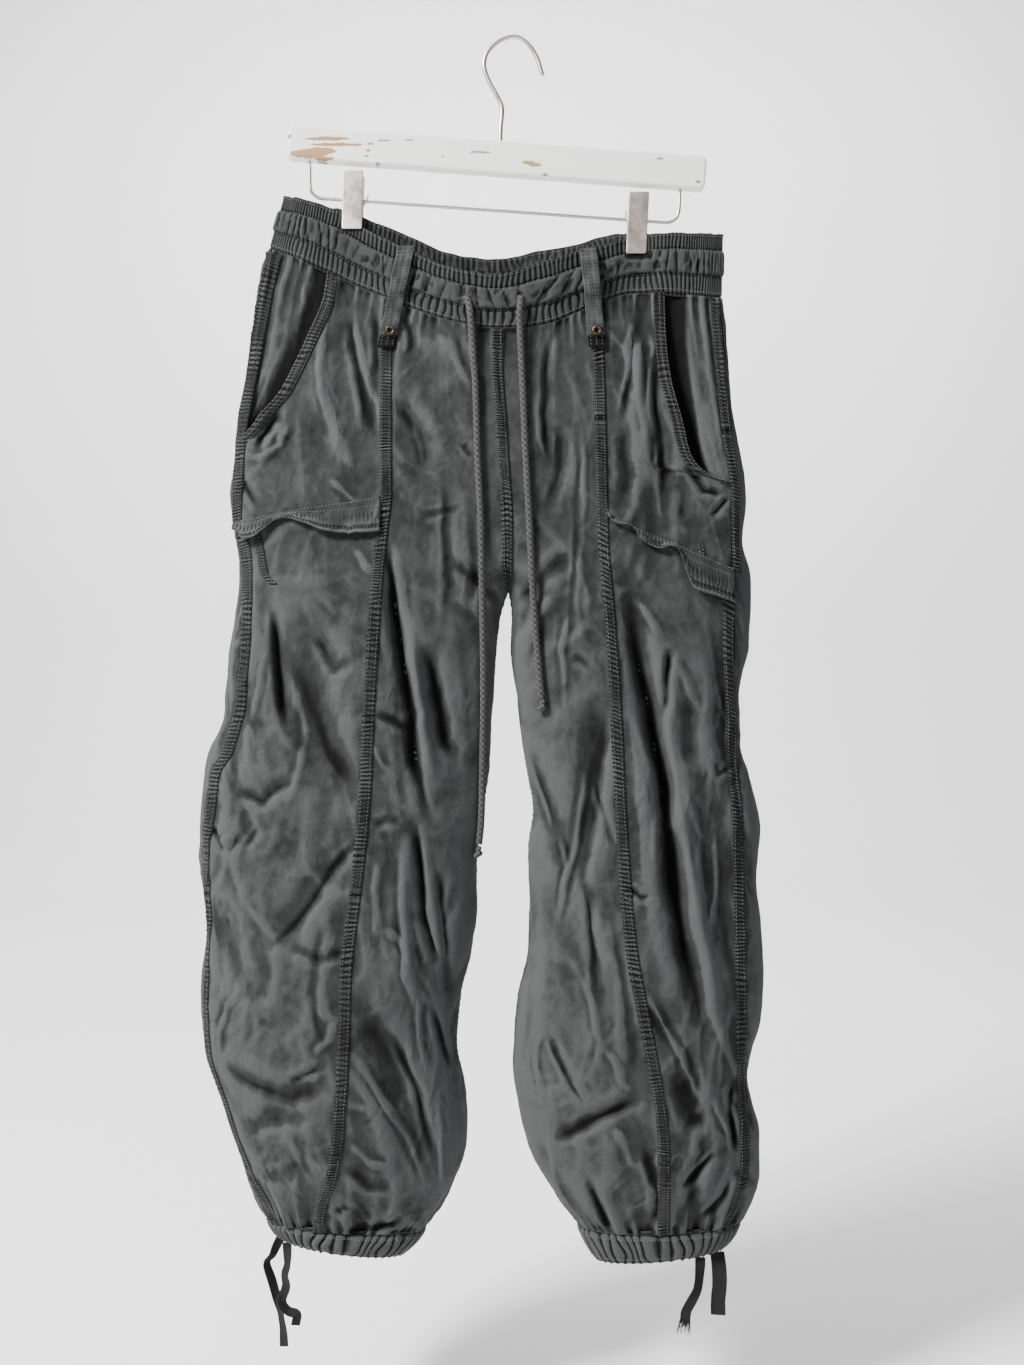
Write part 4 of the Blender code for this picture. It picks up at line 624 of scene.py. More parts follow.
def waist_edges(x, face):
    """The top edge and the lower seam of the waistband, on the front (-1) or the back (1)."""
    top = smooth(WAIST, "top", x)
    seam = smooth(WAIST, "seam", x)
    back_top = smooth(WAIST, "back_top", x)
    return np.where(face < 0, top, back_top), np.where(face < 0, seam, back_top + seam - top)


def down_at(leg, row, x, face):
    """The height of a row where it crosses x."""
    outer_x, outer_down, inner_x, inner_down = rows_of(leg, row)
    across = (x - outer_x) / (inner_x - outer_x)
    top, seam = waist_edges(x, face)
    level = outer_down + (inner_down - outer_down) * across
    first_x, first_down, first_inner_x, first_inner_down = rows_of(leg, np.full_like(row, WAIST_ROW))
    first_across = np.clip((x - first_x) / (first_inner_x - first_x), 0, 1)
    dip = seam - (first_down + (first_inner_down - first_down) * first_across)
    fade = 1.0 - smoothstep((row - WAIST_ROW) / DIP_FADE_ROWS)
    return np.where(row < WAIST_ROW, top + (seam - top) * row, level + dip * fade)


def plain_profile(s):
    return np.exp(-s * s)


def pushed_profile(s):
    """A trough pushes the cloth beside it up, so the profile dips a little below zero on each side."""
    return (1.0 - 0.9 * s * s) * np.exp(-0.8 * s * s)


def crease_height(creases, profile, face, x, down, unevenness):
    """The height that a table's creases add at a place on one face."""
    total = np.zeros_like(x)
    for number, crease in enumerate(creases):
        path = np.array(crease.path, float)
        reach = 3.2 * crease.width * (1 + abs(crease.lean))
        low = path.min(axis=0) - reach
        high = path.max(axis=0) + reach
        near = ((face == crease.face) & (x > low[0]) & (x < high[0]) & (down > low[1]) & (down < high[1]))
        if not near.any():
            continue
        px, pd = x[near], down[near]
        away = np.full_like(px, 1e9)
        side = np.zeros_like(px)
        along = np.zeros_like(px)
        length = steps(path)
        passed = 0.0
        for start, end, span in zip(path[:-1], path[1:], length):
            way = (end - start) / span
            t = np.clip((px - start[0]) * way[0] + (pd - start[1]) * way[1], 0.0, span)
            dx = px - start[0] - t * way[0]
            dd = pd - start[1] - t * way[1]
            found = np.hypot(dx, dd)
            closer = found < away
            away = np.where(closer, found, away)
            side = np.where(closer, np.sign(dx * way[1] - dd * way[0]), side)
            along = np.where(closer, (passed + t) / length.sum(), along)
            passed += span
        taper = smoothstep(along / 0.3) * smoothstep((1.0 - along) / 0.3)
        uneven = 1.0 + unevenness * noise(along * 5.0, number * 1.7, 21)
        total[near] += (crease.height * taper * uneven
                        * profile(away / (crease.width * (1.0 + crease.lean * side))))
    return total


def tube(leg, row, turn, creased=True):
    """The point of a leg's outer surface at a row and a turn, as an array (..., 3)."""
    row, turn = np.broadcast_arrays(np.asarray(row, float), np.asarray(turn, float))
    face = np.where(turn < 0, -1, 1)
    outer_x, _, inner_x, inner_down = rows_of(leg, row)
    closing = smooth(CLOSINGS, "turn", inner_down)
    angle = np.pi * np.abs(turn) * closing
    x = outer_x + (inner_x - outer_x) * (1.0 - np.cos(angle)) / (1.0 - np.cos(np.pi * closing))
    down = down_at(leg, row, x, face)
    depth = np.where(face < 0, smooth(DEPTHS, "front", down), smooth(DEPTHS, "back", down))
    flat = smooth(WAIST, "half_depth", x)
    half = flat + (depth - flat) * smoothstep((row - WAIST_ROW) / DIP_FADE_ROWS)
    edge = np.clip(np.sin(np.pi * np.abs(turn)), 0, 1) ** 0.4
    fade = smoothstep(row - WAIST_ROW) * smoothstep((CASING_ROW - row) / 1.5)
    lift = crease_height(leg.folds, plain_profile, face, x, down, 0.0) * edge * fade
    if creased:
        wander_x = x + 2.0 * noise(x / 24.0, down / 30.0, 11)
        wander_down = down + 2.0 * noise(x / 30.0, down / 26.0, 12)
        close = smoothstep((row - WAIST_ROW) / 0.8) * smoothstep((CASING_ROW - row) / 0.5)
        lift = lift + close * edge * crease_height(leg.creases, pushed_profile, face, wander_x,
                                                   wander_down, 0.25)
    y = face * (half * np.clip(np.sin(angle), 0, 1) ** ROUNDNESS + lift)
    return np.stack([x, y, -down], axis=-1)


def turn_at(leg, row, curve):
    """The turn at which a row crosses a curve that is drawn on the front."""
    row = np.asarray(row, float)
    face = np.full_like(row, -1)
    outer_x, outer_down, inner_x, inner_down = rows_of(leg, row)
    down = 0.5 * (outer_down + inner_down)
    for _ in range(12):
        x = smooth(curve, "x", down)
        down = 0.5 * (down + down_at(leg, row, x, face))
    closing = smooth(CLOSINGS, "turn", inner_down)
    across = np.clip((x - outer_x) / (inner_x - outer_x), 0.0, 1.0)
    return -np.arccos(1.0 - across * (1.0 - np.cos(np.pi * closing))) / (np.pi * closing)


def clip_free(x, down):
    """0 where a clip grips the waistband, 1 well away from the clips."""
    held = [(1.0 - smoothstep((np.abs(x - clip.x) - 9.5) / 5.0))
            * (1.0 - smoothstep((down - clip.bottom - 1.5) / 6.0)) for clip in CLIPS]
    return 1.0 - np.max(held, axis=0)


def seam_distance(leg, rows, turns, speed):
    """Distances along the cloth to the felled seam, the side seam and the inner edge."""
    felled = turn_at(leg, rows, leg.felled_seam)[:, None]
    side = turn_at(leg, rows, leg.side_seam)[:, None]
    edge = 1.0 - np.abs(turns)
    return (np.abs(turns - felled) * speed, np.abs(turns - side) * speed, edge * speed)


def facets(u, v, seed):
    """Crumpled cloth: flat faces that meet in sharp ridges and valleys."""
    first = np.abs(noise(u, v, seed))
    second = np.abs(noise(0.8 * u + 0.6 * v + 9.0, 0.8 * v - 0.6 * u, seed + 1))
    return 1.0 - 1.6 * np.minimum(first, second) - 0.8 * first


def fine_relief(leg, rows, turns, points, speed):
    """Gathers, seam puckers and the cloth's own crumple, in millimetres along the normal."""
    down = -points[..., 2]
    row = np.broadcast_to(rows[:, None], turns.shape)
    total = np.zeros_like(down)
    for gather in GATHERS:
        gone = np.clip((row - gather.seam_row) * gather.away, 0.0, None)
        place = turns * gather.count / 2
        phase = 2 * np.pi * (place + 0.55 * noise(place / 2.1, row / 3.0, gather.seed))
        power = np.clip(0.62 + 0.5 * noise(place / 1.6, row / 2.0, gather.seed + 20), 0.0, None)
        fold = 1.0 - 1.7 * np.abs(np.sin(0.5 * phase)) ** 0.8
        total += gather.height * power * fold * np.exp(-gone / gather.fade) * smoothstep(gone / SEAM_FADE)
    along = ROW_SPACING * row
    for number, away in enumerate(seam_distance(leg, rows, turns, speed)):
        phase = 2 * np.pi * (along / PUCKER_PITCH + 0.8 * noise(along / 21.0, number, 41))
        power = np.clip(0.6 + 0.55 * noise(along / 34.0, number, 42), 0.0, None)
        total += PUCKER_HEIGHT * power * np.sin(phase) * np.exp(-away / PUCKER_REACH)
    place = points[..., 0] + leg.side * points[..., 1]
    body = smoothstep((row - WAIST_ROW) / 0.8) * smoothstep((CASING_ROW - row) / 0.4)
    seed = 50 + 10 * (leg.side + 1)
    u = place + 12.0 * noise(place / 60.0, down / 70.0, seed + 7)
    v = down + 14.0 * noise(place / 55.0, down / 60.0, seed + 8)
    coarse = facets(u / 44.0 + v / 260.0, v / 82.0 - u / 90.0, seed)
    middle = facets(u / 20.0 - v / 95.0, v / 44.0 + u / 60.0, seed + 2)
    small = facets(u / 10.0 + v / 40.0, v / 16.0, seed + 4)
    streaks = noise(place / 11.0, down / 70.0, seed + 6)
    calm = 0.7 + 0.55 * noise(place / 80.0, down / 90.0, seed + 9)
    total += body * calm * (2.0 * coarse + 0.8 * middle + 0.25 * small + 0.5 * streaks)
    return total


def beside(turns):
    """The turns one step ahead and one step behind."""
    return np.clip(turns + TURN_STEP, -1, 1), np.clip(turns - TURN_STEP, -1, 1)


def outward(leg, row, turns, creased):
    """The outward normals of a leg's surface."""
    ahead, behind = beside(turns)
    round_way = tube(leg, row, ahead, creased) - tube(leg, row, behind, creased)
    down_way = (tube(leg, np.clip(row + ROW_STEP, 0, HEM_ROW), turns, creased)
                - tube(leg, np.clip(row - ROW_STEP, 0, HEM_ROW), turns, creased))
    return unit(-leg.side * np.cross(round_way, down_way))


def cloth(leg, rows, turns):
    """Points of the finished cloth, their outward normals and the millimetres in one turn at each."""
    row = np.broadcast_to(rows[:, None], turns.shape)
    normals = outward(leg, row, turns, True)
    ahead, behind = beside(turns)
    speed = np.linalg.norm(tube(leg, row, ahead, False) - tube(leg, row, behind, False), axis=-1)
    speed = speed / (ahead - behind)
    plain = tube(leg, row, turns, False)
    fine = fine_relief(leg, rows, turns, plain, speed)
    points = tube(leg, row, turns) + normals * fine[..., None]
    face = np.where(turns < 0, -1, 1)
    least = np.minimum(HALF_ROOM, 0.7 * face * plain[..., 1])
    points[..., 1] = face * np.maximum(face * points[..., 1], least)
    return points, normals, speed


def trim(points):
    """Draw a patch's edges back by half a seam gap: first and last row, first and last column."""
    points = points.copy()
    for edge, inside in ((np.s_[0], np.s_[1]), (np.s_[-1], np.s_[-2]),
                         (np.s_[:, 0], np.s_[:, 1]), (np.s_[:, -1], np.s_[:, -2])):
        points[edge] += unit(points[inside] - points[edge]) * SEAM_GAP / 2
    return points


def patch(leg, rows, first_turn, last_turn, columns, meets_centre=False):
    """A patch of the cloth between two turns, given for each row; the last may lie on the centre seam."""
    across = np.linspace(0.0, 1.0, columns + 1)
    turns = first_turn[:, None] + (last_turn - first_turn)[:, None] * across[None, :]
    turns = np.where(np.abs(turns) < 1e-6, 1e-6, turns)
    points, normals, _ = cloth(leg, rows, turns)
    points = trim(points)
    if meets_centre:
        facing_on = 1.0 - np.abs(unit(points[:, -1] - points[:, -2])[:, 0])
        points[:, -1, 0] += leg.side * facing_on * SEAM_GAP / 2
    return points, normals


# ---------------------------------------------------------------- meshes

def mesh_object(name, verts, faces, material):
    mesh = bpy.data.meshes.new(name)
    mesh.from_pydata((np.asarray(verts) * MM).tolist(), [], faces)
    bm = bmesh.new()
    bm.from_mesh(mesh)
    bmesh.ops.recalc_face_normals(bm, faces=bm.faces)
    bm.to_mesh(mesh)
    bm.free()
    mesh.shade_smooth()
    mesh.materials.append(material)
    thing = bpy.data.objects.new(name, mesh)
    bpy.context.collection.objects.link(thing)
    return thing


def keep_threads(thing, threads, wear):
    """Store how far each point lies along and across the cloth, in metres, and its wear and painted shading
    value, which the materials turn into pale worn ridges with painted highlight and painted shade in hollows.
    """
    attribute = thing.data.attributes.new("threads", "FLOAT_VECTOR", "POINT")
    flat = np.concatenate([threads, np.zeros((len(threads), 1))], axis=1) * MM
    attribute.data.foreach_set("vector", flat.astype(np.float32).ravel())
    attribute = thing.data.attributes.new("wear", "FLOAT", "POINT")
    attribute.data.foreach_set("value", wear.astype(np.float32).ravel())


def grid_faces(rows, columns, start, ring):
    i, j = np.meshgrid(np.arange(rows - 1), np.arange(columns if ring else columns - 1), indexing="ij")
    k = (j + 1) % columns
    corners = [i * columns + j, i * columns + k, (i + 1) * columns + k, (i + 1) * columns + j]
    return (np.stack(corners, axis=-1).reshape(-1, 4) + start).tolist()


def capped_faces(rings, sides, start=0):
    """The faces of a tube of rings, with a cap at each end."""
    last = start + (rings - 1) * sides
    return grid_faces(rings, sides, start, True) + [list(range(start, start + sides)),
                                                    list(range(last, last + sides))]


def round_angles(sides):
    return 2 * np.pi * np.arange(sides) / sides


def rings_along(path, across, out, wide, deep, angle):
    """Rings of points round a path, with half sizes wide and deep in the ways across and out."""
    return (path[:, None] + across[..., None, :] * (wide * np.cos(angle))[..., None]
            + out[..., None, :] * (deep * np.sin(angle))[..., None])


def threads_of(points):
    """Lengths along the rows and down the columns of a grid of points."""
    across = np.zeros(points.shape[:2])
    across[:, 1:] = np.cumsum(np.linalg.norm(np.diff(points, axis=1), axis=2), axis=1)
    down = np.zeros(points.shape[:2])
    down[1:] = np.cumsum(np.linalg.norm(np.diff(points, axis=0), axis=2).mean(axis=1))[:, None]
    across -= across[:, -1:] / 2
    return np.stack([across, down], axis=-1)


def wear_and_shading_of(points, normals, reach):
    """How far each point stands above its neighbours: positive on ridges, negative in troughs. The materials
    paint the ridges pale, as wear and painted highlight, and the troughs dark as painted shade; the widest of
    the three scales gives broad folds their painted shade.
    """
    total = np.zeros(points.shape[:2])
    for span, share in ((reach, 0.5), (3 * reach, 0.24), (8 * reach, 0.3)):
        for axis in (0, 1):
            size = points.shape[axis]
            at = np.arange(size)
            near = np.minimum(np.minimum(at, size - 1 - at), span)
            ahead = np.take(points, at + near, axis=axis)
            behind = np.take(points, at - near, axis=axis)
            apart = np.linalg.norm(ahead - behind, axis=-1)
            bend = ((points - 0.5 * (ahead + behind)) * normals).sum(axis=-1) / np.maximum(apart, 1.0)
            total += share * bend
    return np.clip(total * 5.0, -1.0, 1.0)


def lowered(inner, outer, normals, inner_rows, inner_columns, room, ring):
    """Push the coarser inner grid in where it would come nearer to the outer one than its room."""
    rows, columns = outer.shape[:2]
    many = len(inner_columns)
    stops = np.append(inner_columns, columns) if ring else inner_columns
    down = np.interp(np.arange(rows), inner_rows, np.arange(len(inner_rows)))
    along = np.interp(np.arange(columns), stops, np.arange(len(stops)))
    top = np.minimum(down.astype(int), len(inner_rows) - 2)
    left = np.minimum(along.astype(int), len(stops) - 2)
    a, b = (down - top)[:, None, None], (along - left)[None, :, None]
    right = (left + 1) % many
    ways = normals[np.ix_(inner_rows, inner_columns)]
    for _ in range(3):
        spread = ((inner[np.ix_(top, left)] * (1 - b) + inner[np.ix_(top, right)] * b) * (1 - a)
                  + (inner[np.ix_(top + 1, left)] * (1 - b) + inner[np.ix_(top + 1, right)] * b) * a)
        short = np.clip(room - ((outer - spread) * normals).sum(axis=-1), 0.0, 1.2)
        worst = np.zeros(inner.shape[:2])
        for row in (top, top + 1):
            for column in (left, right):
                np.maximum.at(worst, np.ix_(row, column), short)
        worst[0] = worst[-1] = 0.0
        if not ring:
            worst[:, 0] = worst[:, -1] = 0.0
        inner = inner - ways * worst[..., None]
    return inner


def shell(name, outer, normals, thickness, material, ring=False, reach=3, every=2, wear=None):
    """A closed thin shell: a fine outer grid and an inner one with fewer points."""
    rows, columns = outer.shape[:2]
    inner_rows = np.unique(np.append(np.arange(0, rows, every), rows - 1))
    inner_columns = (np.arange(0, columns, every) if ring
                     else np.unique(np.append(np.arange(0, columns, every), columns - 1)))
    inner = (outer - normals * np.asarray(thickness)[..., None])[np.ix_(inner_rows, inner_columns)]
    inner = lowered(inner, outer, normals, inner_rows, inner_columns, 0.4 * np.min(thickness), ring)
    start = rows * columns
    many = len(inner_columns)
    faces = grid_faces(rows, columns, 0, ring)
    faces += grid_faces(len(inner_rows), many, start, ring)

    def rim(outside, inside):
        for (first, near), (last, far) in zip(inside[:-1], inside[1:]):
            faces.append([index for place, index in outside if first <= place <= last] + [far, near])

    column_stops = [(c, start + k) for k, c in enumerate(inner_columns)]
    outer_stops = [(c, c) for c in range(columns)]
    if ring:
        column_stops.append((columns, start))
        outer_stops.append((columns, 0))
    below = (len(inner_rows) - 1) * many
    rim(outer_stops, column_stops)
    rim([(c, (rows - 1) * columns + v) for c, v in outer_stops], [(c, v + below) for c, v in column_stops])
    if not ring:
        row_stops = [(r, start + k * many) for k, r in enumerate(inner_rows)]
        rim([(r, r * columns) for r in range(rows)], row_stops)
        rim([(r, r * columns + columns - 1) for r in range(rows)], [(r, v + many - 1) for r, v in row_stops])
    threads = threads_of(outer)
    if wear is None:
        wear = wear_and_shading_of(outer, normals, reach)
    thing = mesh_object(name, np.concatenate([outer.reshape(-1, 3), inner.reshape(-1, 3)]), faces, material)
    pick = np.ix_(inner_rows, inner_columns)
    keep_threads(thing, np.concatenate([threads.reshape(-1, 2), threads[pick].reshape(-1, 2)]),
                 np.concatenate([wear.ravel(), -wear[pick].ravel()]))
    return thing


def finish_piece(piece, slot, *nodes):
    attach(piece, "root")
    if nodes:
        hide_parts(*nodes)
    return piece


# ---------------------------------------------------------------- stitches

STITCHES = []


def sew(points, normals, pitch=STITCH_PITCH, lift=0.1):
    """Note a row of stitches along a line of points on the cloth."""
    reach = walked(points)
    if reach[-1] < pitch:
        return
    at = np.arange(pitch / 2, reach[-1] - pitch / 2, pitch)

    def read(values, where):
        return np.stack([np.interp(where, reach, values[:, k]) for k in range(3)], axis=1)

    normal = unit(read(normals, at))
    way = unit(read(points, at + 0.6) - read(points, at - 0.6))
    STITCHES.append((read(points, at) + normal * lift, way, normal))


def make_stitches(material):
    """All the stitches as one mesh of small spindles."""
    centre, way, normal = (np.concatenate(values) for values in zip(*STITCHES))
    across = unit(np.cross(way, normal))
    half = STITCH_LENGTH / 2
    corners = [centre - way * half]
    for distance in (-half * 0.5, half * 0.5):
        for k in range(3):
            angle = math.pi * (0.5 + 2.0 * k / 3)
            corners.append(centre + way * distance
                           + (across * math.cos(angle) + normal * math.sin(angle)) * STITCH_RADIUS * 1.4)
    corners.append(centre + way * half)
    starts = len(corners) * np.arange(len(centre))[:, None]
    faces = []
    for k in range(3):
        n = (k + 1) % 3
        faces += [np.array(face) + starts for face in (
            (0, 1 + n, 1 + k), (1 + k, 1 + n, 4 + n), (1 + k, 4 + n, 4 + k), (7, 4 + k, 4 + n))]
    thing = mesh_object("stitches", np.stack(corners, axis=1).reshape(-1, 3),
                        np.concatenate(faces).tolist(), material)
    return finish_piece(thing, "washed_cotton")


# ---------------------------------------------------------------- materials

class Nodes:
    """A material's node tree, with short calls for the nodes that the materials share."""

    def __init__(self, name, roughness, specular, metallic=0.0, sheen=0.0):
        self.material = bpy.data.materials.new(name)
        self.material.use_nodes = True
        self.tree = self.material.node_tree
        self.shader = self.tree.nodes["Principled BSDF"]
        for key, value in (("Roughness", roughness), ("Specular IOR Level", specular), ("Metallic", metallic),
                           ("Sheen Weight", sheen), ("Sheen Roughness", 0.6)):
            self.shader.inputs[key].default_value = value
        self.place = self.new("ShaderNodeTexCoord").outputs["Object"]

    def feed(self, socket, value):
        """Link a socket to another one, or give it a plain value."""
        if isinstance(value, bpy.types.NodeSocket):
            self.tree.links.new(value, socket)
        else:
            socket.default_value = value

    def new(self, kind, **inputs):
        node = self.tree.nodes.new(kind)
        for key, value in inputs.items():
            self.feed(node.inputs[key], value)
        return node

    def attribute(self, name, output):
        node = self.new("ShaderNodeAttribute")
        node.attribute_name = name
        return node.outputs[output]

    def stretched(self, vector, scale):
        return self.new("ShaderNodeMapping", Vector=vector, Scale=scale).outputs["Vector"]

    def noise(self, scale, detail=3.0, roughness=0.5, distortion=0.0, vector=None):
        return self.new("ShaderNodeTexNoise", Vector=vector or self.place, Scale=scale, Detail=detail,
                        Roughness=roughness, Distortion=distortion).outputs["Fac"]

    def operate(self, kind, operation, values):
        node = self.tree.nodes.new(kind)
        node.operation = operation
        for socket, value in zip(node.inputs, values):
            self.feed(socket, value)
        return node.outputs[0]

    def math(self, operation, first, second=0.5, third=0.0):
        return self.operate("ShaderNodeMath", operation, (first, second, third))

    def vector(self, operation, *values):
        return self.operate("ShaderNodeVectorMath", operation, values)

    def ramp(self, value, *stops):
        node = self.new("ShaderNodeValToRGB", Fac=value)
        elements = node.color_ramp.elements
        while len(elements) > len(stops):
            elements.remove(elements[-1])
        while len(elements) < len(stops):
            elements.new(1.0)
        for element, (position, colour) in zip(elements, stops):
            element.position = position
            element.color = colour if isinstance(colour, tuple) else (colour, colour, colour, 1)
        return node.outputs["Color"]

    def mix(self, factor, first, second, blend="MIX"):
        node = self.tree.nodes.new("ShaderNodeMix")
        node.data_type = "RGBA"
        node.blend_type = blend
        for key, value in (("Factor", factor), (6, first), (7, second)):
            self.feed(node.inputs[key], value)
        return node.outputs[2]

    def bump(self, height, strength, distance, under=None):
        node = self.new("ShaderNodeBump", Height=height, Strength=strength, Distance=distance)
        if under is not None:
            self.tree.links.new(under, node.inputs["Normal"])
        return node.outputs["Normal"]

    def finish(self, colour, normal=None, roughness=None):
        for value, key in ((colour, "Base Color"), (normal, "Normal"), (roughness, "Roughness")):
            if value is not None:
                self.tree.links.new(value, self.shader.inputs[key])
        return self.material


def grey(value, warm=0.0):
    return (value * (1.0 + warm), value, value * (1.0 - 0.6 * warm), 1.0)


def washed_cotton(name, level, spread=1.0):
    """Washed cotton canvas: a fine weave, cloudy fading, pale worn ridges with painted highlight, painted
    shade in the troughs and small crumples.
    """
    n = Nodes(name, 0.95, 0.08, sheen=0.03)
    threads = n.attribute("threads", "Vector")
    worn_and_shaded = n.math("MULTIPLY_ADD", n.attribute("wear", "Fac"), 0.5, 0.5)
    cloudy = n.noise(22.0, 4.0, 0.6)
    patchy = n.noise(95.0, 3.0, 0.6)
    fading = n.math("ADD", n.math("MULTIPLY", cloudy, 0.65), n.math("MULTIPLY", patchy, 0.35))
    colour = n.mix(n.ramp(fading, (0.38, 0.0), (0.62, 1.0)), grey(level * (1 - 0.36 * spread), -0.035),
                   grey(level * (1 + 0.4 * spread), -0.035))
    upright = n.stretched(n.place, (1.5, 1.5, 0.8))
    soft = n.math("ABSOLUTE", n.math("SUBTRACT", n.noise(15.0, 2.0, 0.45, 0.35, upright)))
    sharp = n.math("ABSOLUTE", n.math("SUBTRACT", n.noise(34.0, 2.0, 0.5, 0.35, upright)))
    crumple = n.math("MULTIPLY_ADD", n.ramp(sharp, (0.0, 0.0), (0.12, 1.0)), 0.35,
                     n.ramp(soft, (0.0, 0.0), (0.12, 1.0)))
    # Painted light: ridges turn pale, as wear along the crests and painted highlight; troughs turn near black
    # as painted shade.
    ridge = n.ramp(n.math("ADD", worn_and_shaded, n.math("MULTIPLY_ADD", patchy, 0.12, -0.06)), (0.51, 0.0), (0.7, 0.95))
    trough = n.ramp(worn_and_shaded, (0.0, 1.0), (0.16, 0.86), (0.34, 0.3), (0.49, 0.0))
    pale = grey(level * 2.3, -0.035)
    colour = n.mix(ridge, colour, pale)
    colour = n.mix(trough, colour, grey(level * 0.1, -0.035))
    warp = n.new("ShaderNodeTexWave", Vector=n.stretched(threads, (1.0, 0.0, 0.0)), Scale=420.0,
                 Distortion=0.6, Detail=1.0)
    weft = n.new("ShaderNodeTexWave", Vector=n.stretched(threads, (0.0, 1.0, 0.0)), Scale=420.0,
                 Distortion=0.6, Detail=1.0)
    weft.bands_direction = "Y"
    yarn = n.math("ADD", warp.outputs["Fac"], weft.outputs["Fac"])
    slub = n.noise(900.0, 2.0, 0.6)
    speck = n.math("MULTIPLY_ADD", yarn, 0.12, n.math("MULTIPLY", slub, 0.5))
    colour = n.mix(0.6, colour, n.ramp(speck, (0.2, 0.5), (0.5, 1.2)), "MULTIPLY")
    normal = n.bump(n.math("MULTIPLY_ADD", yarn, 0.35, n.math("MULTIPLY", slub, 0.5)), 0.35, 0.0004)
    normal = n.bump(patchy, 0.25, 0.003, normal)
    normal = n.bump(crumple, n.ramp(n.noise(9.0, 2.0), (0.38, 0.1), (0.62, 0.38)), -0.0035, normal)
    return n.finish(colour, normal)


def thread_material():
    n = Nodes("sewing_thread", 0.75, 0.3, sheen=0.1)
    colour = n.mix(n.noise(700.0, 2.0), grey(0.05, -0.03), grey(0.12, -0.03))
    return n.finish(colour, n.bump(n.noise(3000.0, 1.0), 0.3, 0.0002))


def braid_material():
    n = Nodes("drawstring_braid", 0.9, 0.15, sheen=0.06)
    wear = n.attribute("wear", "Fac")
    colour = n.mix(n.noise(60.0, 3.0), grey(0.036, 0.02), grey(0.058, 0.02))
    # Painted highlight on the strands' crowns and painted shade between the strands, read from the braid's
    # weave.
    colour = n.mix(n.ramp(wear, (0.2, 0.0), (0.8, 0.5)), colour, grey(0.085, 0.02))
    colour = n.mix(n.ramp(wear, (0.0, 0.7), (0.3, 0.0)), colour, grey(0.012, -0.02))
    return n.finish(colour, n.bump(n.noise(1500.0, 2.0), 0.4, 0.0003))


def tape_material():
    """Dark washed twill tape, with the slant of its weave and cloudy fading."""
    n = Nodes("dark_tape", 0.93, 0.06, sheen=0.02)
    threads = n.attribute("threads", "Vector")
    slant = n.new("ShaderNodeTexWave", Vector=threads, Scale=330.0, Distortion=0.8, Detail=1.0)
    slant.bands_direction = "DIAGONAL"
    cloud = n.noise(120.0, 3.0, 0.6)
    colour = n.mix(cloud, grey(0.009, 0.02), grey(0.018, 0.03))
    colour = n.mix(n.ramp(slant.outputs["Fac"], (0.4, 0.0), (1.0, 0.3)), colour, grey(0.03, 0.02))
    return n.finish(colour, n.bump(slant.outputs["Fac"], 0.5, 0.0004, n.bump(cloud, 0.2, 0.001)))


def painted_wood():
    """White paint over tan wood: brush marks, hairline cracks along the grain and the photo's chips."""
    n = Nodes("painted_wood", 0.5, 0.4)
    grain = n.stretched(n.place, (0.12, 1.0, 1.0))
    wood = n.mix(n.noise(160.0, 4.0, 0.6, 0.6, grain), (0.25, 0.145, 0.07, 1), (0.4, 0.25, 0.13, 1))
    streak = n.noise(320.0, 3.0, 0.7, vector=grain)
    paint = n.mix(streak, (0.86, 0.875, 0.89, 1), (0.95, 0.955, 0.96, 1))
    ragged = n.new("ShaderNodeTexNoise", Vector=n.stretched(n.place, (0.5, 1.0, 1.0)), Scale=330.0,
                   Detail=4.0, Roughness=0.65).outputs["Color"]
    away = n.vector("MULTIPLY_ADD", ragged, (0.009, 0.0, 0.0035), (-0.0045, 0.0, -0.00175))
    place = n.vector("ADD", n.place, away)
    nearest = 2.0
    for chip in CHIPS:
        local = n.vector("SUBTRACT", place, (chip.x * MM, 0.0, -chip.down * MM))
        local = n.vector("MULTIPLY", local, (1 / (chip.half_width * MM), 0.0, 1 / (chip.half_height * MM)))
        length = n.new("ShaderNodeVectorMath", Vector=local)
        length.operation = "LENGTH"
        nearest = n.math("MINIMUM", length.outputs["Value"], nearest)
    bare = n.ramp(nearest, (0.9, 1.0), (1.0, 0.0))
    rim = n.ramp(nearest, (1.0, 0.5), (1.3, 0.0))
    hairs = n.ramp(n.noise(260.0, 4.0, 0.7, 0.2, n.stretched(n.place, (0.04, 1.0, 1.0))),
                   (0.64, 0.0), (0.72, 0.4))
    colour = n.mix(hairs, n.mix(rim, paint, (0.7, 0.68, 0.64, 1)), (0.62, 0.62, 0.62, 1))
    colour = n.mix(bare, colour, wood)
    height = n.math("MULTIPLY_ADD", bare, -1.0,
                    n.math("MULTIPLY_ADD", hairs, -0.6, n.math("MULTIPLY", streak, 0.25)))
    return n.finish(colour, n.bump(height, 0.6, 0.0008), n.ramp(bare, (0.0, 0.45), (1.0, 0.85)))


def satin_metal(name, tint, roughness):
    n = Nodes(name, roughness, 0.5, metallic=1.0)
    smudge = n.noise(90.0, 4.0, 0.6)
    scratch = n.noise(1200.0, 2.0, 0.5, vector=n.stretched(n.place, (1.0, 1.0, 0.08)))
    dull = tuple(channel * 0.75 for channel in tint[:3]) + (1.0,)
    colour = n.mix(n.ramp(smudge, (0.35, 0.0), (0.75, 1.0)), tint, dull)
    rough = n.ramp(smudge, (0.3, roughness * 0.8), (0.8, min(1.0, roughness * 1.5)))
    return n.finish(colour, n.bump(scratch, 0.12, 0.0002), rough)


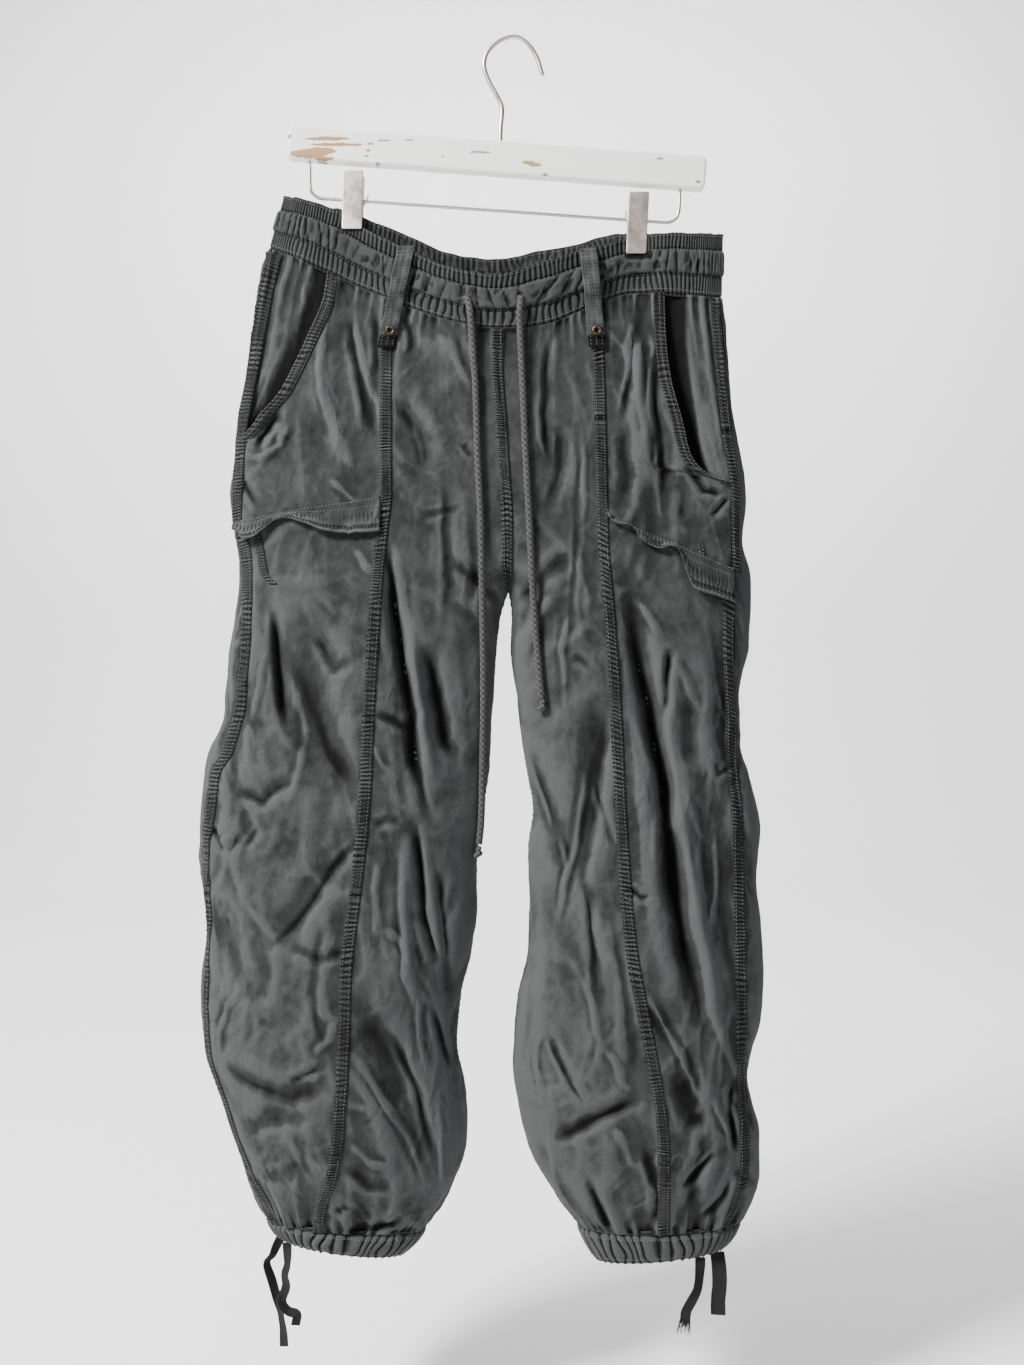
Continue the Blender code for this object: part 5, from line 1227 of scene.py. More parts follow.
def aged_brass():
    n = Nodes("aged_brass", 0.45, 0.5, metallic=0.85)
    tarnish = n.noise(500.0, 4.0, 0.65)
    colour = n.mix(n.ramp(tarnish, (0.36, 0.0), (0.6, 1.0)), (0.11, 0.08, 0.045, 1), (0.02, 0.016, 0.013, 1))
    # Painted shade: the sunk centre of the rivet is painted near black.
    colour = n.mix(n.attribute("wear", "Fac"), colour, (0.006, 0.006, 0.006, 1))
    return n.finish(colour, n.bump(tarnish, 0.3, 0.0003), n.ramp(tarnish, (0.3, 0.32), (0.7, 0.7)))


def studio_white():
    n = Nodes("studio_white", 0.9, 0.1)
    return n.finish(n.mix(n.noise(3.0, 2.0), grey(0.8), grey(0.82)))


# ---------------------------------------------------------------- the waistband

def make_waistband(face, material):
    """Shirred ribs above and below a puffed channel, with rows of stitches between them."""
    name = "waistband_front" if face < 0 else "waistband_back"
    count = 620 if face < 0 else 500
    rows = 50 if face < 0 else 38
    place = np.linspace(-1.0, 1.0, count + 1)
    levels = np.linspace(0.0, WAIST_ROW + WAIST_LAP, rows)
    sides = []
    for leg, chosen in ((RIGHT_LEG, place <= 0), (LEFT_LEG, place > 0)):
        turn = np.broadcast_to(face * np.clip(1.0 - np.abs(place[chosen]), 1e-6, 1)[None, :],
                               (rows, chosen.sum()))
        row = np.broadcast_to(levels[:, None], turn.shape)
        sides.append((tube(leg, row, turn, False), outward(leg, row, turn, False)))
    points = np.concatenate([side[0] for side in sides], axis=1)
    normals = np.concatenate([side[1] for side in sides], axis=1)
    level = levels[:, None] / WAIST_ROW
    at = place[None, :] * RIB_COUNT / 2
    channel = smoothstep((level - 0.25) / 0.08) * smoothstep((0.7 - level) / 0.08)
    seam_in = bell(level, 0.26, 0.022) + bell(level, 0.69, 0.022)
    fold = bell(level, 0.0, 0.04)
    sway = 0.5 * noise(at / 5.0, level * 2.0, 61) + 0.25 * noise(at / 2.3, level * 5.0, 62)
    tight = smoothstep((0.36 - level) / 0.06)
    phase = at * (1.0 + TOP_RIBS * tight) + sway
    groove = np.abs(np.sin(np.pi * phase)) ** 0.6
    rib = (2.2 * groove - 1.4) * (0.8 + 0.4 * noise(at / 2.0, level * 3.0, 63))
    puff_at = at / 2.3 + 1.1 * noise(at / 4.0, level * 1.2, 64)
    puff = (1.6 * np.abs(np.sin(np.pi * puff_at)) ** 0.7 * (0.9 + 0.5 * noise(at / 2.4, 0.3, 65))
            + 0.9 * facets(at / 1.6, level * 4.0 + at / 9.0, 67) - 1.2)
    free = clip_free(points[..., 0], -points[..., 2])
    ends = smoothstep((1.0 - np.abs(place)) / 0.03)[None, :]
    room = np.clip((np.abs(points[..., 1]) - BAND) / 3.0, 0.25, 1.0)
    lift = (0.75 * rib * (1.0 - 0.8 * channel) + 1.15 * puff * channel) * room
    lift += (2.2 * channel - 0.7 * seam_in) * free + 0.7 * fold
    lift *= ends * (0.3 + 0.7 * free)
    laps = smoothstep((level - 0.975) / 0.02)
    lift = lift * (1.0 - laps) - laps * (CLOTH + 0.3)
    points = points + normals * lift[..., None]
    points[..., 2] += 0.9 * noise(at / 1.7, 0.5, 66) * (1.0 - level) ** 2 * free
    points = trim(points)
    inner = points - normals * BAND
    inner[..., 1] = face * np.maximum(face * inner[..., 1], SEAM_GAP / 2)
    thickness = np.maximum(0.3, np.abs(((points - inner) * normals).sum(axis=-1)))
    # Painted shade: the rib grooves are painted near black, the rib tops pale as painted highlight, and the
    # folded top edge pale as wear and painted highlight.
    bent = wear_and_shading_of(points, normals, 2)
    worn_and_shaded = (2.3 * groove - 1.65) * (1.0 - channel) + 1.7 * bent + 0.05 * channel + 0.7 * fold
    piece = shell(name + "_shirred", points, normals, thickness, material, wear=np.clip(worn_and_shaded, -1.0, 1.0))
    for stitched in (0.05, 0.26, 0.66, 0.9):
        line = int(round(stitched * (rows - 1)))
        sew(points[line], normals[line])
        if face > 0:
            sew(points[line] - normals[line] * thickness[line][:, None], -normals[line])
    return finish_piece(piece, "waistband_cotton", name)


# ---------------------------------------------------------------- the legs

def even_rows(first, last, pitch):
    return np.linspace(first, last, int((last - first) * ROW_SPACING / pitch) + 1)


def make_leg(leg, canvas, seam_cloth):
    name = leg.name
    body = even_rows(WAIST_ROW, CASING_ROW, BODY_PITCH)
    back = even_rows(WAIST_ROW, CASING_ROW, BACK_PITCH)
    upper = even_rows(WAIST_ROW, FLAP_ROW, SIDE_PITCH)
    lower = even_rows(FLAP_ROW, CASING_ROW, SIDE_PITCH)
    opening = np.minimum(turn_at(leg, upper, leg.pocket), turn_at(leg, upper, leg.side_seam))
    patches = {
        "front_panel": patch(leg, body, turn_at(leg, body, leg.felled_seam), np.full_like(body, -1.0), 80,
                             meets_centre=True),
        "back_panel": patch(leg, back, turn_at(leg, back, leg.side_seam), np.full_like(back, 1.0), 82,
                            meets_centre=True),
        "side_upper": patch(leg, upper, opening, turn_at(leg, upper, leg.felled_seam), 56),
        "side_lower": patch(leg, lower, turn_at(leg, lower, leg.side_seam),
                            turn_at(leg, lower, leg.felled_seam), 64)}
    made = {}
    for part, (points, normals) in patches.items():
        thickness = np.full(points.shape[:2], CLOTH)
        thickness[4:-4, 4:-4] += INNER_ROOM
        piece = shell(f"{part}_{name}_creased", points, normals, thickness, canvas, every=3)
        made[part] = finish_piece(piece, "washed_cotton", f"{part}_{name}")
    make_facing(leg, canvas)
    make_flap(leg, canvas)
    make_casing(leg, canvas)
    bands = (("felled_band", body, leg.felled_seam, 0.0, [f"felled_band_{name}"]),
             ("side_band", lower[int(len(lower) * 0.018):], leg.side_seam, 1.05, [f"side_band_{name}"]),
             ("side_band_upper", upper[2:-2], leg.side_seam, UPPER_BAND_SHIFT[name], []))
    for part, rows, seam, shift, nodes in bands:
        made[part] = make_band(leg, part, rows, seam, seam_cloth, shift, *nodes)
    made["pocket_edge"] = make_pocket_edge(leg, upper, seam_cloth)
    made["pleat_seam"] = make_pleat_seam(leg, seam_cloth)
    return made


def band_relief(across, along, seed):
    """A stitched strip's form, and its wear and painted shading: rounded edges, sunk rows of stitches and a
    ladder of puckers.
    """
    crown = 1.0 - np.abs(across) ** 6
    rows_sunk = bell(np.abs(across), 0.6, 0.18)
    phase = np.pi * (along / LADDER_PITCH + 1.3 * noise(along / 15.0, 0.5, seed))
    power = np.clip(0.6 + 0.5 * noise(along / 19.0, 1.5 + 0.7 * across, seed), 0.05, None)
    ladder = 1.6 * np.abs(np.sin(phase + 0.8 * across * noise(along / 9.0, 0.7, seed + 1))) - 1.0
    rise = BAND_RISE * (0.45 + 0.55 * crown) - 0.2 * rows_sunk
    edges = bell(np.abs(across), 0.88, 0.08)
    # Painted shade in the puckers' grooves and along the sunk rows of stitches, painted highlight on the
    # puckers' crests; the pale edges are wear.
    wear = 1.7 * power * ladder - 0.5 * rows_sunk + 0.7 * edges - 0.3
    return rise + 0.5 * power * ladder * (1.0 - 0.5 * across ** 2), np.clip(wear, -1.0, 1.0)


def stitched_strip(name, leg, rows, centre, places, shape, half, seed, lines, material, *nodes, height=1.0):
    """A raised strip on a leg, whose columns lie at places, in half widths from its centre."""
    _, _, speed = cloth(leg, rows, centre[:, None])
    points, normals, _ = cloth(leg, rows, centre[:, None] - places[None, :] * half / speed)
    rise, wear = band_relief(shape[None, :], ROW_SPACING * rows[:, None], seed + leg.side)
    rise = height * rise
    outer = points + normals * (REST_GAP + rise)[..., None]
    piece = shell(f"{name}_{leg.name}_stitched", outer, normals, rise, material, every=3, wear=wear)
    for column in lines:
        sew(outer[:, column], normals[:, column])
    return finish_piece(piece, "washed_cotton", *nodes)


def make_band(leg, part, rows, seam, material, shift, *nodes):
    """A strip over a seam, made from the cloth's own points and moved to one side by a shift."""
    rows = even_rows(rows[0], rows[-1], STRIP_PITCH)
    shape = np.linspace(-1.0, 1.0, 11)
    return stitched_strip(part, leg, rows, turn_at(leg, rows, seam), shape + shift, shape, BAND_HALF, 71,
                          (2, 8), material, *nodes)


def make_pocket_edge(leg, upper, material):
    """The double-stitched edge of the pocket opening."""
    rows = even_rows(upper[0], upper[-1], STRIP_PITCH)
    centre = turn_at(leg, rows, leg.pocket)
    end = leg.pocket[-1]
    rows = rows[down_at(leg, rows, np.full_like(rows, end.x), np.full_like(rows, -1)) < end.down + 3.0]
    span = np.linspace(0.05, 2.0, 11)
    return stitched_strip("pocket_edge", leg, rows, centre[:len(rows)], span, span - 1.0, BAND_HALF, 81,
                          (1, 5), material, f"pocket_edge_{leg.name}")


def make_rise_band(name, face, last_row, material, *nodes):
    """The stitched strip over the centre seam, in front or behind, half of it on each leg."""
    rows = even_rows(WAIST_ROW + WAIST_LAP + 0.01, last_row, STRIP_PITCH)
    halves = []
    for leg, span in ((RIGHT_LEG, np.linspace(1.0, 0.03, 6)), (LEFT_LEG, np.linspace(0.03, 1.0, 6))):
        _, _, speed = cloth(leg, rows, np.full((len(rows), 1), face * 0.98))
        halves.append(cloth(leg, rows, face * (1.0 - span[None, :] * BAND_HALF / speed))[:2])
    points = np.concatenate([half[0] for half in halves], axis=1)
    normals = np.concatenate([half[1] for half in halves], axis=1)
    normals = unit(normals + normals.mean(axis=1, keepdims=True))
    across = np.concatenate([-np.linspace(1.0, 0.03, 6), np.linspace(0.03, 1.0, 6)])
    rise, wear = band_relief(across[None, :], ROW_SPACING * rows[:, None], 91 + face)
    outer = points + normals * (REST_GAP + rise)[..., None]
    piece = shell(name, outer, normals, rise, material, every=3, wear=wear)
    for column in (2, 9):
        sew(outer[:, column], normals[:, column])
    return finish_piece(piece, "washed_cotton", *nodes)


def make_pleat_seam(leg, material):
    """The short stitched seam under the flap, over the pleat."""
    path = PLEAT_SEAMS[leg.name]
    rows = even_rows(path[0].row, path[-1].row, STRIP_PITCH)
    span = np.linspace(-1.0, 1.0, 9)
    return stitched_strip("pleat_seam", leg, rows, smooth(path, "turn", rows), span, span, PLEAT_HALF, 87,
                          (2, 6), material, height=0.8)


def make_facing(leg, material):
    """The cloth behind the pocket opening, in soft upright folds."""
    rows = even_rows(WAIST_ROW, FACING_END_ROW[leg.name], SIDE_PITCH)
    side = turn_at(leg, rows, leg.side_seam)
    deeper = [Place(place.down, place.x - leg.side * FACING_UNDERLAP) for place in leg.pocket]
    edge = np.minimum(turn_at(leg, rows, deeper), side - 0.04)
    columns = 30
    points, normals = patch(leg, rows, side - FACING_MARGIN[leg.name], edge, columns)
    across = np.linspace(0.0, 1.0, columns + 1)
    knots = np.linspace(0.0, 1.0, len(FACING_RAMP[leg.name]))
    ramp = cubic(knots, np.array(FACING_RAMP[leg.name]), across)[None, :]
    lower = smoothstep((rows - rows[0]) / (rows[-1] - rows[0]))[:, None]
    ramp = np.clip(ramp, 0.0, 1.0) ** (1.0 - FACING_FALL[leg.name] * lower)
    depth = smooth(FACING_DEPTHS[leg.name], "sink", rows)[:, None]
    room = np.clip(0.85 * np.abs(points[..., 1]), FACING_SINK_LEAST, depth)
    ripple = 0.9 * facets(across[None, :] * 2.6 + 0.3 * rows[:, None], rows[:, None] / 2.2, 95)
    points = points - normals * (ramp * room - ripple * np.sin(np.pi * across)[None, :])[..., None]
    # Painted shade: the cloth is painted dark where it sinks in behind the pocket opening.
    worn_and_shaded = np.clip(wear_and_shading_of(points, normals, 3) - 1.5 * smoothstep((ramp - 0.35) / 0.5), -1.0, 1.0)
    piece = shell(f"pocket_facing_{leg.name}_folded", points, normals, np.full(points.shape[:2], CLOTH),
                  material, wear=worn_and_shaded)
    return finish_piece(piece, "waistband_cotton", f"pocket_facing_{leg.name}")


def make_flap(leg, material):
    """The loose flap: sewn along its top, it stands off and curls in uneven waves below."""
    columns = 110
    table = FLAPS[leg.name]
    tops = np.full(2, FLAP_ROW - FLAP_LAP)
    first = turn_at(leg, tops, leg.side_seam)[0] - 0.004
    last = turn_at(leg, tops, leg.felled_seam)[0] + 0.012
    turn = np.linspace(first, last, columns + 1)
    levels = np.linspace(0.0, 1.0, 21)
    rows = FLAP_ROW - FLAP_LAP + 0.9 * levels
    base, normals, _ = cloth(leg, rows, np.broadcast_to(turn[None, :], (len(levels), columns + 1)))
    top = base[0]
    x = top[:, 0]
    drop = smooth(table, "down", x) + top[:, 2]
    stand = smooth(table, "stand", x)
    grid = []
    for n, level in enumerate(levels):
        point = top.copy()
        point[:, 2] -= drop * level
        own = (rows[n] - rows[0]) * 38.0
        blend = np.clip(drop * level / max(own, 1e-6), 0.0, 1.0) if n else np.ones_like(x)
        point[:, 1] = top[:, 1] + (base[n][:, 1] - top[:, 1]) * blend
        curl = np.sin(np.pi * level) * 1.2 + 1.0 * noise(x / 9.0, level * 1.5, 97) * level
        bead = 0.8 * bell(level, 0.97, 0.07) - 0.4 * bell(level, 0.84, 0.05)
        pucker = 0.22 * np.sin(2 * np.pi * x / 3.6 + 2.0 * noise(x / 20.0, 0.5, 96)) * (level > 0.7)
        out = 1.2 + (stand - 1.2) * smoothstep(level) + curl + bead + pucker
        grid.append(point + normals[0] * out[:, None])
    points = np.stack(grid)
    facing = np.broadcast_to(normals[0][None], points.shape)
    # Painted light: a pale rolled edge as wear and painted highlight, a painted shadow line beneath it, and
    # painted shade in the puckers of the stitched ladder.
    edge_wear_and_shadow = 0.9 * bell(levels, 0.98, 0.05) - 0.7 * bell(levels, 0.84, 0.04)
    ladder = np.clip(np.sin(2 * np.pi * x / 3.4 + 2.5 * noise(x / 14.0, 0.5, 94)) + 0.3, 0.0, 1.0)
    stitched = bell(levels, 0.52, 0.13)[:, None] * ladder[None, :] * (0.8 + 0.6 * noise(x / 9.0, 1.5, 93))
    worn_and_shaded = np.clip(wear_and_shading_of(points, facing, 2) + edge_wear_and_shadow[:, None] - 1.1 * stitched, -1.0, 1.0)
    piece = shell(f"flap_{leg.name}_curled", points, facing, np.full(points.shape[:2], 1.0), material,
                  wear=worn_and_shaded)
    for line in (1, 5, -4):
        sew(points[line], facing[line])
    return finish_piece(piece, "washed_cotton", f"flap_{leg.name}")


def make_casing(leg, material):
    """The hem's casing: tight uneven gathers round a rolled lower edge, which start behind the panels."""
    count = 480
    turn = 2.0 * (np.arange(count) + 0.5) / count - 1.0
    levels = np.linspace(0.0, 1.0, 20)
    rows = CASING_ROW - CASING_LAP + (HEM_ROW - CASING_ROW + CASING_LAP) * levels
    turns = np.broadcast_to(turn[None, :], (len(rows), count))
    grid = np.broadcast_to(rows[:, None], turns.shape)
    points = tube(leg, grid, turns, False)
    normals = outward(leg, grid, turns, False)
    place = turns * CASING_COUNT / 2
    level = levels[:, None]
    shift = 0.7 * noise(place / 1.9 + 7.0, level * 1.5, 98) * smoothstep((1.0 - np.abs(turns)) / 0.05)
    groove = np.abs(np.sin(np.pi * (place + shift))) ** 0.6
    wave = (1.8 * groove - 1.1) * (0.8 + 0.5 * noise(place / 1.6, level, 99))
    lift = (0.9 + 0.9 * np.sin(np.pi * level)) * wave + 0.9 + 1.8 * np.sin(np.pi * level) ** 0.8
    out = smoothstep((level - 0.06) / 0.1)
    lift = lift * out - (1.0 - out) * (CLOTH + 0.3)
    points = points + normals * lift[..., None]
    points[..., 2] += 1.8 * wave * level ** 2
    # Painted shade in the grooves of the gathers; the noise is uneven tone.
    worn_and_shaded = np.clip(2.0 * groove - 1.3 + wear_and_shading_of(points, normals, 1)
                   + 0.3 * noise(place / 3.0, level * 2.0, 97), -1.0, 1.0)
    piece = shell(f"hem_casing_{leg.name}_gathered", points, normals, np.full(points.shape[:2], CLOTH),
                  material, ring=True, wear=worn_and_shaded)
    for line in (4, 16):
        sew(points[line], normals[line])
    return finish_piece(piece, "washed_cotton", f"hem_casing_{leg.name}")


# ---------------------------------------------------------------- things that lie on the cloth

def surface_tree(pieces):
    """A search tree over pieces that others lie on."""
    verts = []
    faces = []
    for piece in pieces:
        start = len(verts)
        verts.extend(vert.co / MM for vert in piece.data.vertices)
        faces.extend([start + index for index in face.vertices] for face in piece.data.polygons)
    return BVHTree.FromPolygons(verts, faces)


def front_y(tree, x, down, reach, default):
    """The y of the foremost cloth within reach of a place."""
    found = []
    for dx in (-reach, -reach / 2, 0.0, reach / 2, reach):
        for dz in (-reach, 0.0, reach):
            place = tree.ray_cast(Vector((x + dx, FAR_FRONT, -down + dz)), Vector((0, 1, 0)))[0]
            if place is not None:
                found.append(place.y)
    return min(found) if found else default


def smooth_route(points, count):
    """Points at even steps along a smooth curve through the route's own points."""
    points = np.array(points, float)
    reach = walked(points)
    at = np.linspace(0, reach[-1], count)
    extended = np.vstack([2 * points[0] - points[1], points, 2 * points[-1] - points[-2]])
    cell = np.clip(np.searchsorted(reach, at, side="right") - 1, 0, len(points) - 2)
    t = ((at - reach[cell]) / (reach[cell + 1] - reach[cell]))[:, None]
    a, b, c, d = (extended[cell + k] for k in range(4))
    return 0.5 * ((2 * b) + (c - a) * t + (2 * a - 5 * b + 4 * c - d) * t ** 2
                  + (3 * b - a - 3 * c + d) * t ** 3)


def settled(y, times):
    """A line of y moved forward wherever it lies behind the middle of its neighbours."""
    for _ in range(times):
        y = np.minimum(y, 0.5 * (np.append(y[1:], y[-1]) + np.append(y[0], y[:-1])))
    return y


def make_belt_loops(tree, canvas, brass):
    for strip in BELT_LOOPS:
        count = 76
        rows = np.linspace(0.0, 1.0, count)
        centre_x = strip.top_x + (strip.foot_x - strip.top_x) * rows
        down = strip.top_down + (strip.foot_down - strip.top_down) * rows
        y = settled(np.array([front_y(tree, x, d, LOOP_WIDTH / 2, -12.0)
                              for x, d in zip(centre_x, down)]), 6)
        stand = 2.4 * np.sin(np.pi * np.clip((rows - 0.06) / 0.86, 0, 1)) ** 0.8
        y -= REST_GAP + stand
        across = np.linspace(-1.0, 1.0, 13)
        width = LOOP_WIDTH / 2 * (1.0 + 0.035 * noise(rows * 9.0, 2.5, 101))[:, None]
        crown = 0.5 * (1.0 - np.abs(across) ** 5)[None, :]
        sunk = 0.28 * sum(bell(across, line, 0.13) for line in (-0.72, 0.0, 0.72))[None, :]
        dimple = 0.08 * np.sin(2 * np.pi * (rows[:, None] * 24 + 0.4 * across[None, :]
                                           + noise(rows[:, None] * 8, 0.5, 102)))
        x = centre_x[:, None] + width * across[None, :]
        z = -down[:, None] + 0.4 * noise(across[None, :] * 1.5, rows[:, None] * 3, 103)
        foot = smoothstep((rows[:, None] - 0.885) / 0.012)
        front = np.stack([x, y[:, None] - LOOP_THICKNESS + 0.5 - crown + sunk + dimple + 0.9 * foot, z],
                         axis=-1)
        normals = np.broadcast_to(np.array((0.0, -1.0, 0.0)), front.shape)
        thickness = (y[:, None] - front[..., 1]).clip(0.3, None)
        edges = bell(np.abs(across), 0.93, 0.06)[None, :]
        cloud = 0.25 * noise(rows[:, None] * 11.0, across[None, :] * 1.5, 104)
        # Painted shade along the sunk rows of stitches and a painted shadow bar at the loop's foot; the pale
        # edges are wear and the cloud is uneven tone.
        wear = np.clip(0.22 + cloud + 0.6 * edges - 1.3 * sunk - 2.0 * foot, -1.0, 1.0)
        piece = shell(f"belt_loop_{strip.name}_sewn", front, normals, thickness, canvas, wear=wear)
        finish_piece(piece, "washed_cotton", f"belt_loop_{strip.name}")
        for column in (2, 6, 10):
            sew(front[:, column], normals[:, column], lift=0.05)
        for row in (4, 7, -12):
            sew(front[row], normals[row], pitch=2.2, lift=0.05)
        at = int(0.83 * count)
        seat = np.array((centre_x[at] + 1.0, y[at] - LOOP_THICKNESS - 0.35, -down[at]))
        make_rivet(strip.name, seat, brass)


def make_rivet(name, seat, material):
    """A domed ring with a sunk centre and a small burr, turned about y."""
    profile = ((0.0, 0.28), (0.2, 0.34), (0.34, 0.3), (0.42, 0.5), (0.5, 0.86), (0.62, 1.0), (0.78, 0.97),
               (0.92, 0.7), (1.0, 0.3), (1.0, 0.02), (0.5, 0.0), (0.0, 0.0))
    sides = 40
    turned = round_angles(sides)
    verts = []
    for radius, height in profile:
        radius = max(radius, 0.004)
        verts.append(np.stack([seat[0] + radius * RIVET_RADIUS * np.cos(turned),
                               np.full(sides, seat[1] - height * RIVET_HEIGHT),
                               seat[2] + radius * RIVET_RADIUS * np.sin(turned)], axis=1))
    piece = mesh_object(f"rivet_{name}_turned", np.concatenate(verts), capped_faces(len(profile), sides),
                        material)
    # Marks the sunk centre, which the brass paints near black as painted shade.
    sunk = np.repeat([1.0 if radius < 0.5 else 0.0 for radius, _ in profile], sides)
    keep_threads(piece, np.zeros((len(sunk), 2)), sunk)
    return finish_piece(piece, "aged_brass", f"rivet_{name}")


def frame_along(path):
    """The way, and two square directions, at each point of a path: across and out to the front."""
    way = unit(np.gradient(path, axis=0))
    across = unit(np.cross(way, np.array((0.0, -1.0, 0.0))))
    return way, across, unit(np.cross(across, way))


def braided_tube(name, path, radius, flat, material, pitch=5.2):
    """A soft tubular braid: strands cross in two slanting sets, over and under."""
    sides = 16
    _, across, out = frame_along(path)
    reach = walked(path)[:, None]
    angle = round_angles(sides)
    one = np.sin(3 * angle + 2 * np.pi * reach / pitch)
    two = np.sin(3 * angle - 2 * np.pi * reach / pitch)
    weave = 0.5 * (np.maximum(one, two) + 0.35 * np.minimum(one, two))
    size = radius * (0.94 + 0.11 * weave + 0.03 * noise(reach / 12.0, 0.5, 111))
    points = rings_along(path, across, out, size, size * flat, angle)
    piece = mesh_object(name, points.reshape(-1, 3), capped_faces(len(path), sides), material)
    threads = np.stack(np.broadcast_arrays(angle * radius, reach), axis=-1)
    # The weave's relief is stored for painted highlight on the strands' crowns and painted shade between
    # them.
    keep_threads(piece, threads.reshape(-1, 2), weave.ravel())
    return piece


def make_drawstrings(tree, material):
    """Each free end lies on the cloth below its hole in the waistband and ends in a knot."""
    for string in STRINGS:
        flat = smooth_route(string.path, 60)
        y = settled(np.array([front_y(tree, x, down, STRING_RADIUS, -40.0) for x, down in flat]), 10)
        y -= STRING_RADIUS * 0.82 + 0.5
        y[:3] += STRING_SINK * (1.0 - smoothstep(np.arange(3) / 2.0))
        route = np.stack([flat[:, 0], y, -flat[:, 1]], axis=-1)
        fine = smooth_route(route, int(steps(route).sum() / 0.85))
        cord = braided_tube(f"drawstring_{string.name}_braid", fine, STRING_RADIUS, 0.8, material)
        finish_piece(cord, "drawstring_braid", f"drawstring_{string.name}")
        way = unit(route[-1] - route[-2])
        knot = make_knot(string.name, route[-1] + way * (KNOT_RADIUS * 1.15 + 0.3), material)


def make_knot(name, centre, material):
    """An overhand knot: the cord's end wound round itself, with a short tail."""
    t = np.linspace(-0.1, 1.1, 130)
    turn = 2 * np.pi * t * 1.5
    bulge = np.sin(np.pi * np.clip(t, 0, 1))
    x = (1.9 * np.sin(turn) + 1.2 * np.sin(2 * turn + 0.6)) * bulge
    y = (1.6 * np.cos(turn + 0.5) + 0.6 * np.sin(3 * turn)) * bulge
    z = KNOT_RADIUS * 1.1 * (0.62 * np.cos(2 * np.pi * t) * bulge + (0.5 - t) * 0.9)
    path = np.stack([x, y, z], axis=1) + centre
    piece = braided_tube(f"drawstring_knot_{name}_tied", path, 2.3, 0.9, material, pitch=4.2)
    return finish_piece(piece, "drawstring_braid", f"drawstring_knot_{name}")


def make_ankle_ties(material):
    """Flat tapes that leave the hem casings and twist as they hang; one of them ends in a fray."""
    for tie in ANKLE_TIES:
        count = 90
        path = smooth_route(tie.path, count) * np.array((1.0, 1.0, -1.0))
        start = tube(tie.leg, HEM_ROW, tie.turn, False)
        centre = start + path
        way, across, out = frame_along(centre)
        at = np.linspace(0.0, 1.0, count)
        twist = np.radians(cubic(np.linspace(0.0, 1.0, len(tie.twist)), np.array(tie.twist, float), at))
        broad = unit(across * np.cos(twist)[:, None] + out * np.sin(twist)[:, None])
        thin = unit(np.cross(broad, way))
        columns = np.linspace(-1.0, 1.0, 13)
        curl = 0.5 * columns[None, :] ** 2 + 0.18 * noise(columns[None, :] * 2, at[:, None] * 14, 121)
        width = tie.width / 2 * (1.0 + 0.05 * noise(at * 9.0, 0.5, 122))
        points = (centre[:, None] + broad[:, None] * (width[:, None] * columns[None, :])[..., None]
                  + thin[:, None] * curl[..., None])
        normals = np.broadcast_to(thin[:, None], points.shape)
        piece = shell(f"ankle_tie_{tie.name}_tape", points, normals, np.full(points.shape[:2], TIE_THICKNESS),
                      material, reach=2)
        finish_piece(piece, "dark_tape", f"ankle_tie_{tie.name}")
        fray = ([make_fray(centre[-1], way[-1], broad[-1], thin[-1], tie.width, material)]
                if tie.name == "left_inner" else [])


def make_fray(end, way, across, out, width, material):
    """Loose yarns of uneven length that fan out from the cut end of the tape."""
    rng = np.random.default_rng(131)
    verts = []
    faces = []
    for strand in range(FRAY_STRANDS):
        place = -1.0 + 2.0 * (strand + 0.5) / FRAY_STRANDS
        length = rng.uniform(7.0, 15.5)
        t = np.linspace(0.0, 1.0, FRAY_RINGS)
        spread = place * (1.0 + 0.45 * t) + rng.uniform(-0.25, 0.25) * t ** 2
        lift = rng.uniform(-2.0, 2.4) * t ** 1.5
        wiggle = 0.4 * np.sin(t * rng.uniform(4.0, 9.0) + strand)
        line = (end + way * (length * t - 1.5)[:, None] + across * (spread * width / 2 + wiggle * t)[:, None]
                + out * (lift - TIE_THICKNESS / 2)[:, None])
        radius = 0.34 * (1.0 - 0.45 * t)[:, None]
        faces += capped_faces(FRAY_RINGS, FRAY_SIDES, len(verts) * FRAY_RINGS * FRAY_SIDES)
        verts.append(rings_along(line, across, out, radius, radius, round_angles(FRAY_SIDES)).reshape(-1, 3))
    piece = mesh_object("ankle_tie_fray_yarns", np.concatenate(verts), faces, material)
    count = len(piece.data.vertices)
    keep_threads(piece, np.zeros((count, 2)), np.zeros(count))
    return finish_piece(piece, "dark_tape", "ankle_tie_fray")


# ---------------------------------------------------------------- the hanger

def rail_down(x):
    (first_x, first_down), (last_x, last_down) = RAIL_STRAIGHT
    return first_down + (last_down - first_down) * (x - first_x) / (last_x - first_x)


